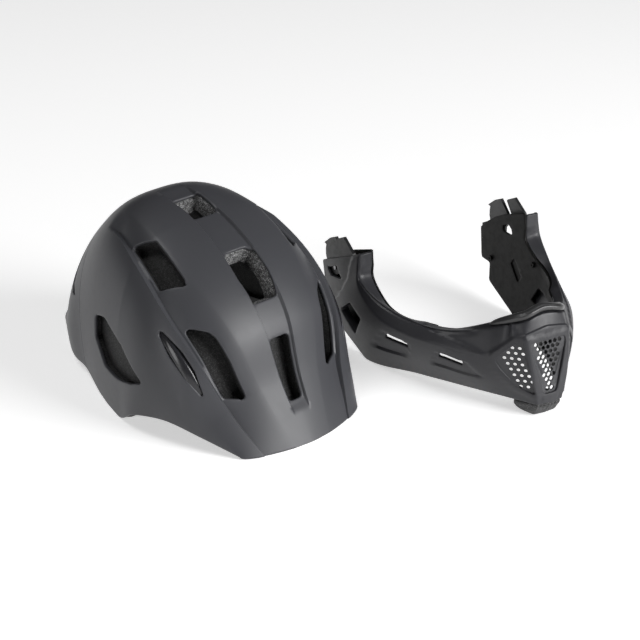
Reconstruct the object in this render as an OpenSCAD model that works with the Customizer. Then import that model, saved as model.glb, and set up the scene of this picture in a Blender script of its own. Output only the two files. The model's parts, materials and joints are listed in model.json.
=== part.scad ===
// Trail helmet with an integral peak, and the full-face chin bar that comes off it.
// The helmet stands on its peak and ears, and the chin bar lies beside it, as after removal.
// The origin is the middle of the head opening, on the surface that the helmet stands on.
// +Z is up, -Y is where the wearer looks, and +X is the wearer's left.

/* [Helmet shell] */
// Length from the tip of the peak to the tail
shell_length = 315; // [300:1:330]
// Width across the widest part, over the ears
shell_width = 226; // [216:1:236]
// Height of the crown above the surface
shell_height = 184; // [176:1:194]
// Thickness of the moulded shell
shell_wall = 3; // [2.4:0.2:3.6]
// Gap between the shell and the foam liner
shell_gap = 0.6; // [0.4:0.1:0.9]
// Depth of the channel along the middle of the crown
channel_depth = 2.6; // [1:0.2:3.4]
// Depth of the groove beside each line of side vents
groove_depth = 4.4; // [2:0.2:5]
// Gap between the main shell and the tail shell, in parts of a loft station
tail_seam = 0.02; // [0.01:0.01:0.05]

/* [Foam liner and pads] */
// Thickness of the foam liner
liner_wall = 17; // [15:0.5:19]
// Thickness of a comfort pad at its crown
pad_wall = 8; // [6:0.5:10]
// Gap between a pad and the liner that carries it
pad_gap = 1.15; // [1:0.05:1.3]

/* [Head ring] */
// Height of the ring's band
band_height = 14; // [12:1:17]
// Thickness of the ring's band
band_wall = 1.6; // [1.2:0.2:2]
// Height of the ring's centre line above the surface
ring_z = 50; // [46:1:54]
// Radius of the temple pins
pin_r = 2.5; // [2:0.1:3]
// Teeth on the dial's pinion
pinion_teeth = 12; // [10:1:14]
// Module of the pinion and the racks, tooth pitch over pi
gear_module = 1; // [0.9:0.05:1.1]
// Radius of the dial
dial_r = 17; // [15:0.5:19]
// Radius of the dial's shaft
shaft_r = 3; // [2.6:0.1:3.4]
// Running clearance of a pin or shaft in its bore
run_gap = 0.06; // [0.04:0.01:0.1]
// Gap between two pieces that lie against each other
seat_gap = 0.3; // [0.2:0.05:0.4]

/* [Chin bar] */
// Width of the chin bar over its arms
bar_width = 212; // [204:1:220]
// Reach of the chin bar from the arms' rear edge to the chin
bar_reach = 260; // [250:1:270]
// Height of the arms' front corner above the surface
bar_height = 118; // [112:1:124]
// Thickness of the chin bar's moulded shell
bar_wall = 3; // [2.4:0.2:3.4]
// Depth of the chin bar from its outside to its inner plates
bar_depth = 12; // [11:0.5:14]
// Thickness of the inner plates of the arms
plate_wall = 2.2; // [1.8:0.2:2.6]
// Thickness of a latch tongue
tongue_wall = 3.2; // [2.8:0.1:3.4]
// Depth of an arm to its inner plate, from half the chin bar's width
arm_depth = 15.5; // [14.5:0.5:17]
// Width of a latch tongue
tongue_width = 28; // [24:1:30]
// Height that the latch tongues stand above the arms
tongue_height = 21; // [18:1:23]
// Radius of the pin that a latch lever turns on
latch_pin_r = 2; // [1.6:0.1:2.2]
// Radius of a round hole in the side grilles
mesh_hole_r = 1.8; // [1.4:0.1:2]
// Width across the flats of a hole in the centre grille
mesh_hex = 4.2; // [3.6:0.1:4.6]

/* [Straps] */
// Width of the webbing
strap_width = 15; // [13:1:18]
// Thickness of the webbing
strap_wall = 1.2; // [1:0.1:1.6]

/* [Place of the chin bar] */
// Turn of the chin bar beside the helmet, degrees
bar_turn = -12.7; // [-20:0.1:0]
// Distance of the chin bar to the wearer's left of the helmet
bar_x = 245; // [240:1:300]
// Distance of the chin bar's origin behind the helmet's origin
bar_y = -55; // [-90:1:0]

/* [Hidden] */

// Loft stations of the helmet, 0 at the tip of the peak and 8 at the tail.
// Crown line: y and z of the middle of the shell.
crown_line = [[-169, 0], [-138, 53], [-116, 107], [-75, 149], [-18, 178], [44, 184],
    [95, 150], [128, 108], [146, 48]];
// Rim: half width, y and z of the lower edge.
rim_line = [[72, -149, 3], [91, -117, 17], [105, -83, 25], [113, -45, 18], [107, -13, 0],
    [96, 31, 2], [85, 69, 10], [77, 104, 11], [59, 141, 27]];
// Squareness of each hoop from rim to rim: 2 is an ellipse.
hoop_power = [1.6, 2, 2.5, 2.9, 3.4, 2.9, 2.5, 2.2, 2];
last_station = len(crown_line) - 1;
kx = shell_width / 226;
ky = shell_length / 315;
kz = shell_height / 184;

function lerp(a, b, t) = a + (b - a) * t;
function unit(v) = v / norm(v);
function clamp(x) = max(0, min(1, x));
function smooth(a, b, c, d, t) = ((2 * b) + (c - a) * t + (2 * a - 5 * b + 4 * c - d) * t * t
    + (3 * b - a - 3 * c + d) * t * t * t) / 2;
// Smooth curve through pts, at station u
function along(pts, u) = let (n = len(pts) - 1, i = min(n - 1, max(0, floor(u))))
    smooth(i > 0 ? pts[i - 1] : 2 * pts[0] - pts[1], pts[i], pts[i + 1],
        i < n - 1 ? pts[i + 2] : 2 * pts[n] - pts[n - 1], u - i);
// Straight runs between pts, at station u
function runs(pts, u) = let (n = len(pts) - 1, i = min(n - 1, max(0, floor(u))))
    lerp(pts[i], pts[i + 1], u - i);

// Point of the shell's outside at station u and f degrees round the hoop from the crown.
// Each hoop is a superellipse that stands on the rim and peaks at the crown line.
function hoop(u, f) = let (p = along(crown_line, u), r = along(rim_line, u),
    n = runs(hoop_power, u), a = min(90, abs(f)),
    q = pow(pow(sin(a), n) + pow(cos(a), n), 1 / n), g = 1 - cos(a) / q)
    [sign(f) * sin(a) / q * r[0] * kx, lerp(p[0], r[1], g) * ky, lerp(p[1], r[2], g) * kz];
function outward(u, f) = unit(cross(hoop(u, f + 1) - hoop(u, f - 1),
    hoop(min(last_station, u + 0.02), f) - hoop(max(0, u - 0.02), f)));

// Degrees of the crown channel's edge, the side ridge and the vent groove
channel_edge = [6, 7, 8, 8.6, 8, 8, 8, 8, 8];
ridge_line = [17.5, 21, 24.5, 28, 29, 29, 29, 29, 29];
groove_line = [50, 47, 46.3, 43.8, 41.2, 37, 37, 37, 37];
step = 0.7;
function channel_at(u) = runs(channel_edge, u);
function ridge_at(u) = runs(ridge_line, u);
function groove_at(u) = runs(groove_line, u);
function relief(u, f) = let (a = abs(f), c = channel_at(u), r = ridge_at(u), g = groove_at(u))
    -channel_depth * clamp((c + step - a) / (2 * step)) * clamp((4.95 - u) / 0.4) * clamp(u / 0.5)
    - groove_depth * clamp((a - r) / (g - r)) * clamp((g + 2 * step - a) / (2 * step))
        * clamp((5.15 - u) / 0.45);
// Point at a distance d outside the shell, never below the surface that it stands on
function skin(u, f, d) = let (p = hoop(u, f) + outward(u, f) * d) [p[0], p[1], max(0, p[2])];
function moulded(u, f, d) = skin(u, f, d + relief(u, f));
function half_lines(u, n) = let (c = channel_at(u), r = ridge_at(u), g = groove_at(u))
    concat([c - step, c + step, (c + r) / 2, r, (r + g) / 2, g, g + 2 * step],
        [for (i = [1 : n]) lerp(g + 2 * step, 90, i / n)]);
function hoop_lines(u, n) = let (h = half_lines(u, n))
    concat([for (i = [len(h) - 1 : -1 : 0]) -h[i]], [0], h);

// Closed wall between two grids of points, a outside and b inside
module wall(a, b) {
    n = len(a);
    m = len(a[0]);
    s = n * m;
    polyhedron(points = concat([for (r = a) each r], [for (r = b) each r]), faces = [
        for (i = [0 : n - 2], j = [0 : m - 2]) let (p = i * m + j, q = p + m) each
            [[p, q, q + 1], [p, q + 1, p + 1], [s + p, s + q + 1, s + q], [s + p, s + p + 1, s + q + 1]],
        for (j = [0 : m - 2]) let (p = j, q = (n - 1) * m + j) each
            [[p, p + 1, s + p + 1], [p, s + p + 1, s + p], [q + 1, q, s + q], [q + 1, s + q, s + q + 1]],
        for (i = [0 : n - 2]) let (p = i * m, q = p + m - 1) each
            [[p + m, p, s + p], [p + m, s + p, s + p + m], [q, q + m, s + q + m], [q, s + q + m, s + q]]]);
}
// Convex block from one outline to another
module block(a, b) {
    n = len(a);
    hull() polyhedron(points = concat(a, b), faces = concat([[for (i = [0 : n - 1]) i]],
        [[for (i = [0 : n - 1]) 2 * n - 1 - i]],
        [for (i = [0 : n - 1]) [i, i + n, (i + 1) % n + n, (i + 1) % n]]));
}

// Vent outlines as station and degrees, each on the wearer's right and mirrored by side
vent_top = [[3.98, -8], [4.55, -9.4], [4.55, 9.4], [3.98, 8]];
vent_mid = [[2.3, -8], [2.75, -9.4], [3.15, -9], [3.26, -6], [3.26, 6], [3.15, 9], [2.75, 9.4],
    [2.3, 8]];
vent_low = [[0.66, -6.4], [1.68, -7.8], [1.68, 7.8], [0.66, 6.4]];
vent_side = [[3.06, 31.4], [3.16, 29.8], [3.95, 29.8], [4.14, 34], [4.36, 40], [3.36, 42]];
vent_front = [[1.19, 46.4], [0.98, 32.4], [1.64, 33.3], [2.14, 33.6], [2.26, 34.8], [2.64, 43.6]];
vent_temple = [[2.84, 74.4], [2.9, 72.2], [3.79, 66.4], [4.54, 63.8], [5.02, 65], [5.04, 69],
    [4.78, 76], [3.1, 75.6]];
trim_hole = [[1.5, 54.9], [1.5, 57.8], [2.05, 58.2], [2.5, 55.8], [2.9, 52.4], [2.94, 50.4],
    [2.84, 49.5], [2.35, 49], [1.94, 50.4]];
vent_tail = [[6.27, 38], [6.47, 45], [6.55, 54], [6.33, 61.5], [6.66, 58], [6.82, 50], [6.66, 41]];
vent_rear = [[6.9, 9], [6.9, 25], [7.45, 22], [7.45, 8]];
vent_nape = [[7.3, 40], [7.2, 62], [7.5, 62], [7.65, 44]];
tail_slot = [[7.1, 30], [7.05, 36], [7.5, 35], [7.55, 29]];

module vent(outline, side, d1, d0) {
    block([for (p = outline) skin(p[0], side * p[1], d1)], [for (p = outline) skin(p[0], side * p[1], d0)]);
}
module shell_vents(d1, d0) {
    vent(vent_top, 1, d1, d0);
    vent(vent_mid, 1, d1, d0);
    vent(vent_low, 1, d1, d0);
    for (s = [-1, 1]) {
        vent(vent_side, s, d1, d0);
        vent(vent_front, s, d1, d0);
        vent(vent_temple, s, d1, d0);
    }
}
module tail_vents(d1, d0) {
    for (s = [-1, 1]) {
        vent(vent_tail, s, d1, d0);
        vent(vent_rear, s, d1, d0);
        vent(vent_nape, s, d1, d0);
    }
}

tail_station = 6;
shell_rows = 26;
tail_rows = 9;
liner_rows = 20;
liner_first = 1.25;
liner_last = 7.85;
liner_out = -shell_wall - shell_gap;
liner_in = liner_out - liner_wall;

module outer_shell() {
    color([0.2, 0.21, 0.22]) difference() {
        us = [for (i = [0 : shell_rows]) lerp(0, tail_station - tail_seam / 2, i / shell_rows)];
        wall([for (u = us) [for (f = hoop_lines(u, 6)) moulded(u, f, 0)]],
            [for (u = us) [for (f = hoop_lines(u, 6)) moulded(u, f, -shell_wall)]]);
        shell_vents(8, -2 * shell_wall - groove_depth);
        for (s = [-1, 1]) vent(trim_hole, s, 8, -2 * shell_wall);
    }
}
module tail_shell() {
    color([0.2, 0.21, 0.22]) difference() {
        us = [for (i = [0 : tail_rows]) lerp(tail_station + tail_seam / 2, last_station, i / tail_rows)];
        wall([for (u = us) [for (f = hoop_lines(u, 6)) moulded(u, f, 0)]],
            [for (u = us) [for (f = hoop_lines(u, 6)) moulded(u, f, -shell_wall)]]);
        tail_vents(8, -2 * shell_wall);
        for (s = [-1, 1]) vent(tail_slot, s, 8, -2 * shell_wall);
    }
}

// The liner thins out towards the brow, under the peak.
function liner_depth(u) = liner_out - max(3, liner_wall * clamp((u - 0.95) / 0.8));
function drawn_in(outline, k) = let (c = [for (i = [0 : 1]) [for (p = outline) p[i]]],
    m = [for (v = c) (min(v) + max(v)) / 2]) [for (p = outline) lerp(m, p, k)];
pocket_deep = 9;
module foam_liner() {
    color([0.1, 0.1, 0.11]) difference() {
        us = [for (i = [0 : liner_rows]) lerp(liner_first, liner_last, i / liner_rows)];
        wall([for (u = us) [for (f = hoop_lines(u, 6)) moulded(u, f, liner_out)]],
            [for (u = us) [for (f = hoop_lines(u, 6)) skin(u, f, liner_depth(u))]]);
        for (v = [vent_top, vent_mid, vent_low]) vent(drawn_in(v, 0.86), 1, 0, liner_in - 8);
        for (s = [-1, 1]) {
            vent(drawn_in(vent_side, 0.84), s, 0, liner_in - 8);
            vent(drawn_in(vent_front, 0.84), s, 0, liner_in - 8);
            vent(drawn_in(vent_rear, 0.86), s, 0, liner_in - 8);
            vent(drawn_in(vent_temple, 0.9), s, 0, liner_out - pocket_deep);
            vent(drawn_in(vent_tail, 0.9), s, 0, liner_out - pocket_deep);
            vent(drawn_in(vent_nape, 0.9), s, 0, liner_out - pocket_deep);
        }
        for (s = [-1, 1]) {
            socket_place(s)
                cube([socket_wall + 2 * seat_gap, socket_long + 2 * seat_gap, 2 * socket_high], center = true);
            translate([s * (anchor[0] + anchor_sink), anchor[1], ring_z]) rotate([0, 90, 0])
                cylinder(r = anchor_r + seat_gap, h = 8 * anchor_wall, center = true, $fn = 32);
        }
    }
}

// Temple trims: a glossy crest that lies in the lens-shaped hole, nearer its lower edge
trim_first = 1.56;
trim_last = 2.88;
trim_low = [57.2, 57.5, 56.2, 54, 51.4];
trim_high = [56.6, 54.6, 53, 51.7, 50.9];
trim_rows = 8;
trim_rise = [-1.6, -0.2, 1.2, 0.6, -1.2];
module temple_trim(side) {
    function spot(i, j, d) = let (t = i / trim_rows, k = pow(sin(180 * clamp(t)), 0.5), f = 4 * t)
        skin(lerp(trim_first, trim_last, t), side * lerp(runs(trim_high, f), runs(trim_low, f), j / 4),
            d == 0 ? -shell_wall + 0.4 : -1.6 + (trim_rise[j] + 1.6) * k + 0.2);
    order = side > 0 ? [0 : 4] : [4 : -1 : 0];
    color([0.06, 0.06, 0.065]) wall([for (i = [0 : trim_rows]) [for (j = order) spot(i, j, 1)]],
        [for (i = [0 : trim_rows]) [for (j = order) spot(i, j, 0)]]);
}

// Sockets for the chin bar's tongues, buried in the liner over each ear
socket_wall = tongue_wall + 6.3;
socket_long = 2 * tongue_width + 10;
socket_high = tongue_height + 8;
socket_tilt = 21;
tongue_gap = 0.5;
module socket_place(side) {
    p = along(rim_line, 3);
    mirror([side < 0 ? 1 : 0, 0, 0])
        translate([p[0] * kx - shell_wall - 7.6 - socket_wall / 2, p[1] * ky, p[2] * kz + 15])
            rotate([-socket_tilt, 0, 0]) children();
}
module chin_socket(side) {
    color([0.12, 0.12, 0.13]) socket_place(side) difference() {
        cube([socket_wall, socket_long, socket_high], center = true);
        for (t = [-1, 1])
            translate([t * 1.15, -t * (tongue_width / 2 + 1.5), -4])
                cube([tongue_wall + 2 * tongue_gap, tongue_width, socket_high], center = true);
    }
}

// Comfort pads, crowned and drawn in towards their edges, on the liner's inside.
// Each is given by its stations and by its middle and half width in degrees.
brow_pad_at = [1.85, 2.25, 0, 52];
crown_pad_at = [3.4, 5.4, 17, 6];
side_pad_at = [3.2, 4.9, 57, 7];
pad_edge = 1.5;
pad_draw = 0.05;
// 0 on the pad's edge and 1 over most of it, at s along and t across
function rise(s, t) = pow(clamp(1 - pow(abs(2 * s - 1), 4)) * clamp(1 - pow(abs(2 * t - 1), 4)), 0.5);
module pad(place, side, nu, nf) {
    du = place[1] - place[0];
    f0 = side * place[2] - place[3];
    df = 2 * place[3];
    function drawn(a, d, s, t) = let (k = pad_draw * pow(2 * t - 1, 2)) a + d * lerp(k, 1 - k, s);
    function spot(i, j, deep) = let (s = i / nu, t = j / nf,
        u = drawn(place[0], du, s, t), f = drawn(f0, df, t, s))
        skin(u, f, liner_depth(u) - pad_gap - (deep ? lerp(pad_edge, pad_wall, rise(s, t)) : 0));
    wall([for (i = [0 : nu]) [for (j = [0 : nf]) spot(i, j, false)]],
        [for (i = [0 : nu]) [for (j = [0 : nf]) spot(i, j, true)]]);
}
module brow_pad() { color([0.07, 0.07, 0.075]) pad(brow_pad_at, 1, 6, 20); }
module crown_pad(side) { color([0.07, 0.07, 0.075]) pad(crown_pad_at, side, 12, 6); }
module side_pad(side) { color([0.07, 0.07, 0.075]) pad(side_pad_at, side, 12, 6); }

// Head ring: a band on each side from the temple pin to the dial behind the head
function angle_at(u, z, lo = 0, hi = 90, n = 14) = let (m = (lo + hi) / 2)
    n == 0 ? m
    : skin(u, m, liner_in)[2] > z ? angle_at(u, z, m, hi, n - 1)
    : angle_at(u, z, lo, m, n - 1);
function inside_at(u, z, d) = skin(u, angle_at(u, z), liner_in - d);
anchor_station = 3;
anchor = inside_at(anchor_station, ring_z, 0);
anchor_sink = 1.2;
anchor_r = 9;
anchor_wall = 3;
band_off = 4;
band_x = anchor[0] - band_off;
plate_y = 88 * ky;
rack_y = plate_y + 5;
rack_deep = 5;
pitch_r = gear_module * pinion_teeth / 2;
tooth_pitch = gear_module * PI;
rack_travel = 8.5;
rack_back = pitch_r + 5 * gear_module;
housing_half = 31;
tab_x = housing_half + rack_travel + 1;
tab_long = 9;
band_y = rack_y - band_wall / 2 - seat_gap;
side_run = [for (u = [3.5 : 0.5 : 6]) let (p = inside_at(u, ring_z, band_off)) [p[0], p[1]]];
tab_start = [tab_x + 6, band_y - 0.7];
band_route = concat([[band_x, anchor[1] - 12], [band_x, anchor[1]]], side_run,
    [lerp(side_run[len(side_run) - 1], tab_start, 0.53), tab_start, [tab_x, band_y]]);
function heading(route, u) = unit(along(route, min(len(route) - 1, u + 0.01)) - along(route, max(0, u - 0.01)));
function strip_side(route, d, n) = [for (i = [0 : n])
    let (u = i * (len(route) - 1) / n, t = heading(route, u)) along(route, u) + d * [-t[1], t[0]]];
module headband(side) {
    color([0.16, 0.16, 0.17]) mirror([side < 0 ? 1 : 0, 0, 0]) difference() {
        translate([0, 0, ring_z - band_height / 2]) linear_extrude(band_height)
            polygon(concat(strip_side(band_route, band_wall / 2, 36),
                [for (i = [36 : -1 : 0]) strip_side(band_route, -band_wall / 2, 36)[i]]));
        translate([band_x, anchor[1], ring_z]) rotate([0, 90, 0])
            cylinder(r = pin_r + run_gap, h = 4 * band_wall, center = true, $fn = 40);
        for (k = [-1, 1]) translate([tab_x + tab_long / 2, band_y, ring_z + 3 * k]) rotate([90, 0, 0])
            cylinder(r = peg_r + 0.15, h = 4 * band_wall, center = true, $fn = 24);
    }
}
peg_r = 1.2;
module temple_anchors() {
    color([0.1, 0.1, 0.1]) for (s = [-1, 1]) mirror([s < 0 ? 1 : 0, 0, 0])
        translate([anchor[0] + anchor_sink - seat_gap, anchor[1], ring_z]) rotate([0, -90, 0]) {
            cylinder(r = anchor_r, h = anchor_wall, $fn = 48);
            cylinder(r = pin_r, h = anchor_sink - seat_gap + band_off + band_wall / 2 + 2.2, $fn = 40);
            translate([0, 0, anchor_sink - seat_gap + band_off + band_wall / 2 + 0.6])
                cylinder(r = pin_r + 3, h = 1.6, $fn = 40);
        }
}

// Cradle behind the head, with the dial's housing on it
cradle_wall = 2.5;
module cradle() {
    color([0.14, 0.14, 0.15]) translate([0, plate_y, ring_z]) rotate([90, 0, 0]) linear_extrude(cradle_wall)
        difference() {
            union() {
                hull() for (x = [-34, 34]) translate([x, 0]) circle(r = 12, $fn = 48);
                for (s = [-1, 1]) hull() {
                    translate([s * 10, 0]) circle(r = 11, $fn = 48);
                    translate([s * 24, -24]) circle(r = 8, $fn = 48);
                }
            }
            for (s = [-1, 1]) {
                hull() {
                    translate([s * 24, -14]) circle(r = 3, $fn = 32);
                    translate([s * 25, -24]) circle(r = 4, $fn = 32);
                }
                translate([s * 38, 0]) circle(r = 4.5, $fn = 32);
            }
            translate([0, -24]) circle(r = 9, $fn = 48);
        }
}
tray_floor = 1.6;
tray_wall = 2;
tray_half = rack_back + seat_gap + tray_wall;
tray_deep = rack_y + rack_deep + 1 - plate_y - seat_gap;
module tray_outline() {
    hull() for (x = [-1, 1], z = [-1, 1])
        translate([x * (housing_half - 4), z * (tray_half - 4)]) circle(r = 4, $fn = 32);
}
module dial_housing() {
    color([0.1, 0.1, 0.11]) translate([0, plate_y + seat_gap, ring_z]) rotate([-90, 0, 0]) difference() {
        linear_extrude(tray_deep) tray_outline();
        translate([0, 0, tray_floor]) linear_extrude(tray_deep) offset(delta = -tray_wall) tray_outline();
        translate([0, 0, -1]) cylinder(r = shaft_r + run_gap, h = tray_floor + 2, $fn = 48);
        for (s = [-1, 1]) translate([s * housing_half, -s * (rack_back + pitch_r) / 2,
            rack_y - plate_y + rack_deep / 2 - seat_gap])
                cube([3 * tray_wall, rack_back - pitch_r + 4, rack_deep + 1], center = true);
    }
}
cover_y = plate_y + 2 * seat_gap + tray_deep;
cover_wall = 1.8;
module dial_cover() {
    color([0.1, 0.1, 0.11]) translate([0, cover_y, ring_z]) rotate([-90, 0, 0]) difference() {
        linear_extrude(cover_wall) tray_outline();
        translate([0, 0, -1]) cylinder(r = shaft_r + run_gap, h = cover_wall + 2, $fn = 48);
    }
}
tooth_half = gear_module * 0.58;
tooth_tip = gear_module * 0.3;
module tooth_row(n) {
    for (i = [0 : n - 1]) translate([i * tooth_pitch, 0])
        polygon([[-tooth_half - 0.5, 1.3 * gear_module], [-tooth_tip, -0.85 * gear_module],
            [tooth_tip, -0.85 * gear_module], [tooth_half + 0.5, 1.3 * gear_module]]);
}
// The upper rack carries the left band and the lower rack the right one.
module rack(side) {
    color([0.18, 0.18, 0.19]) translate([0, rack_y + rack_deep, ring_z]) rotate([90, side < 0 ? 180 : 0, 0]) {
        linear_extrude(rack_deep) {
            translate([-4.5 * tooth_pitch, pitch_r]) tooth_row(10);
            translate([-5 * tooth_pitch, pitch_r + 1.2 * gear_module])
                square([tab_x + 5 * tooth_pitch + 1, rack_back - pitch_r - 1.2 * gear_module]);
            translate([tab_x, -7]) square([tab_long, rack_back + 7]);
        }
        for (k = [-1, 1]) translate([tab_x + tab_long / 2, 3 * k, rack_deep - 0.01])
            cylinder(r = peg_r, h = band_wall + 2 * seat_gap, $fn = 24);
    }
}
gear_tooth = [[pitch_r - 1.25 * gear_module, -tooth_half - 0.37], [pitch_r + 0.8 * gear_module, -tooth_tip],
    [pitch_r + 0.8 * gear_module, tooth_tip], [pitch_r - 1.25 * gear_module, tooth_half + 0.37]];
module pinion() {
    color([0.75, 0.75, 0.77]) translate([0, rack_y + rack_deep - 0.5, ring_z]) rotate([90, 0, 0])
        linear_extrude(rack_deep - 1) difference() {
            polygon([for (i = [0 : pinion_teeth - 1], p = gear_tooth) let (a = i * 360 / pinion_teeth + 90)
                [p[0] * cos(a) - p[1] * sin(a), p[0] * sin(a) + p[1] * cos(a)]]);
            circle(r = shaft_r + run_gap, $fn = 48);
        }
}
dial_y = cover_y + cover_wall + 0.5;
dial_deep = 8;
dial_lobes = 12;
module dial() {
    color([0.09, 0.09, 0.095]) translate([0, dial_y, ring_z]) rotate([-90, 0, 0]) difference() {
        union() {
            linear_extrude(dial_deep) difference() {
                circle(r = dial_r, $fn = 96);
                for (i = [0 : dial_lobes - 1]) rotate((i + 0.5) * 360 / dial_lobes)
                    translate([dial_r + 1.8, 0]) circle(r = 3.4, $fn = 32);
            }
            translate([0, 0, plate_y + tray_floor - dial_y + 2 * seat_gap])
                cylinder(r = shaft_r, h = dial_y - plate_y - tray_floor, $fn = 48);
        }
        translate([0, 0, dial_deep - 2.5]) cylinder(r = dial_r - 6, h = 4, $fn = 64);
        translate([0, 0, dial_deep - 12]) cylinder(r = screw_r + 0.05, h = 14, $fn = 32);
    }
}
screw_r = 1.3;
module dial_screw() {
    color([0.6, 0.6, 0.62]) translate([0, dial_y, ring_z]) rotate([-90, 0, 0]) difference() {
        union() {
            translate([0, 0, dial_deep - 11]) cylinder(r = screw_r, h = 9, $fn = 32);
            translate([0, 0, dial_deep - 2.5 + 0.05]) cylinder(r = 2 * screw_r, h = 1.3, $fn = 32);
        }
        translate([0, 0, dial_deep - 1.9]) cylinder(r = 1.1, h = 2, $fn = 6);
    }
}

// Strip that holds the cradle's height, and the clip on the liner that it slides in
strip_half = 8;
strip_wall = 1.5;
strip_off = 5.6;
clip_station = 6.6;
function liner_yz(u, d) = let (p = skin(u, 0, liner_in - d)) [p[1], p[2]];
cradle_top = 22;
strip_route = concat([[plate_y + seat_gap + strip_wall / 2, ring_z + tray_half + 1],
    [plate_y + seat_gap + strip_wall / 2, ring_z + cradle_top]],
    [for (u = [7 : -0.2 : 6.4]) liner_yz(u, strip_off)]);
module height_strip() {
    color([0.16, 0.16, 0.17]) rotate([90, 0, 90]) translate([0, 0, -strip_half]) linear_extrude(2 * strip_half)
        polygon(concat(strip_side(strip_route, strip_wall / 2, 18),
            [for (i = [18 : -1 : 0]) strip_side(strip_route, -strip_wall / 2, 18)[i]]));
}
// Stands its child on the liner's inside, with its +Z towards the liner
module on_liner(u, f, d) {
    n = outward(u, f);
    x = unit(hoop(u, f + 1) - hoop(u, f - 1));
    y = cross(n, x);
    p = skin(u, f, liner_in - d);
    multmatrix([[x[0], y[0], n[0], p[0]], [x[1], y[1], n[1], p[1]], [x[2], y[2], n[2], p[2]], [0, 0, 0, 1]])
        children();
}
clip_deep = 10.3;
module height_clip() {
    color([0.1, 0.1, 0.11]) on_liner(clip_station, 0, 0.1) difference() {
        rotate([90, 0, 0]) linear_extrude(10, center = true) polygon([[-7, 0], [7, 0], [12, -2.4],
            [12, -clip_deep], [-12, -clip_deep], [-12, -2.4]]);
        translate([-strip_half - 1.5, -6, -clip_deep + 1.8]) cube([2 * strip_half + 3, 12, clip_deep]);
    }
}

// Straps: two come down from the liner on each side to a divider, and one runs on from it
strap_z = 34;
// Station, degrees and seat of each strap anchor on the liner
front_anchor = [3.3, angle_at(3.3, strap_z), 2.1];
rear_anchor = [5.9, angle_at(5.9, strap_z), 1.1];
anchor_plate = [22, 12, 1.6];
module strap_anchors() {
    color([0.1, 0.1, 0.1]) for (s = [-1, 1], a = [front_anchor, rear_anchor])
        on_liner(a[0], s * a[1], a[2]) translate([0, 0, -anchor_plate[2]]) linear_extrude(anchor_plate[2])
            difference() {
                square([anchor_plate[1], anchor_plate[0]], center = true);
                square([2.4, strap_width + 1], center = true);
            }
}
module ribbon(route, faces, n) {
    spots = [for (i = [0 : n]) i * (len(route) - 1) / n];
    function edge(u, w, t) = let (p = along(route, u), g = unit(runs(faces, u)),
        d = unit(along(route, min(len(route) - 1, u + 0.02)) - along(route, max(0, u - 0.02))),
        k = unit(cross(d, g)), h = cross(k, d), e = p + k * w * strap_width / 2 + h * t * strap_wall / 2)
        [e[0], e[1], max(t > 0 ? strap_wall : 0, e[2])];
    wall([for (u = spots) [edge(u, -1, 1), edge(u, 1, 1)]],
        [for (u = spots) [edge(u, -1, -1), edge(u, 1, -1)]]);
}
divider_y = 2 * ky;
divider_z = 22;
divider_x = inside_at(4.9, divider_z, 5)[0];
divider_half = 10;
strap_off = 0.9;
buckle_y = -18;
frame_long = 34;
tongue_long = 34;
// Each route of webbing is followed by the heading of its flat side at each point.
module side_straps(side, end_x) {
    lo = strap_wall / 2 + 0.3;
    edge = divider_half + strap_off;
    color([0.05, 0.05, 0.055]) mirror([side < 0 ? 1 : 0, 0, 0]) {
        ribbon([inside_at(front_anchor[0], strap_z - 1, 6), inside_at(3.42, strap_z - 6, 6),
            [divider_x, divider_y - edge - 8.1, divider_z + 1], [divider_x, divider_y - edge, divider_z]],
            [[1, -0.1, 0], [1, 0, 0], [1, 0, 0], [1, 0, 0]], 12);
        ribbon([inside_at(rear_anchor[0], strap_z - 1, 6), inside_at(5.4, strap_z - 6, 6),
            [divider_x, divider_y + edge + 8.1, divider_z], [divider_x, divider_y + edge, divider_z]],
            [[1, 0.2, 0], [1, 0.2, 0], [1, 0, 0], [1, 0, 0]], 12);
        ribbon([[divider_x, divider_y, divider_z - edge], [divider_x - 1, divider_y, divider_z - edge - 4.1],
            [divider_x - 8, divider_y - 1, lo + 3.4], [divider_x - 20, divider_y - 9, lo + 0.5],
            [lerp(divider_x, end_x, 0.6), buckle_y, lo + 0.1], [end_x, buckle_y, lo]],
            [[1, 0, 0], [1, 0, 0.1], [0.4, 0, 1], [0, 0, 1], [0, 0, 1], [0, 0, 1]], 18);
    }
}
module divider(side) {
    color([0.1, 0.1, 0.1]) mirror([side < 0 ? 1 : 0, 0, 0]) translate([divider_x - 2, divider_y, divider_z])
        rotate([0, 90, 0]) linear_extrude(4) difference() {
            hull() for (p = [[1, 1], [1, -1], [-1, 1], [-1, -1]])
                translate(p * (divider_half - 3)) circle(r = 3, $fn = 32);
            for (p = [-5, 5]) translate([p, 0]) square([2.2, strap_width - 2], center = true);
        }
}
// Ratchet buckle that lies closed on the straps: a frame, a toothed tongue and a lever
frame_wide = 20;
frame_floor = 1.6;
lever_z = 8;
lever_x = -4;
buckle_pin_r = 1.5;
tongue_z = 2.2;
module buckle_frame() {
    color([0.13, 0.13, 0.14]) translate([-frame_long + 14, buckle_y, 0]) difference() {
        union() {
            translate([0, -frame_wide / 2, 0]) cube([frame_long, frame_wide, frame_floor]);
            for (s = [-1, 1]) translate([0, s * (frame_wide / 2 - 1) + 1, 0]) rotate([90, 0, 0])
                linear_extrude(2) polygon([[0, 0], [frame_long, 0], [frame_long, 5], [frame_long - 12, lever_z + 3],
                    [frame_long - 22, lever_z + 3], [frame_long - 28, 5], [0, 4]]);
        }
        translate([lever_x + frame_long - 14, 0, lever_z]) rotate([90, 0, 0])
            cylinder(r = buckle_pin_r + 0.02, h = 2 * frame_wide, center = true, $fn = 32);
        translate([2, 0, -1]) translate([0, -strap_width / 2, 0]) cube([3, strap_width, frame_floor + 2]);
    }
}
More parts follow.
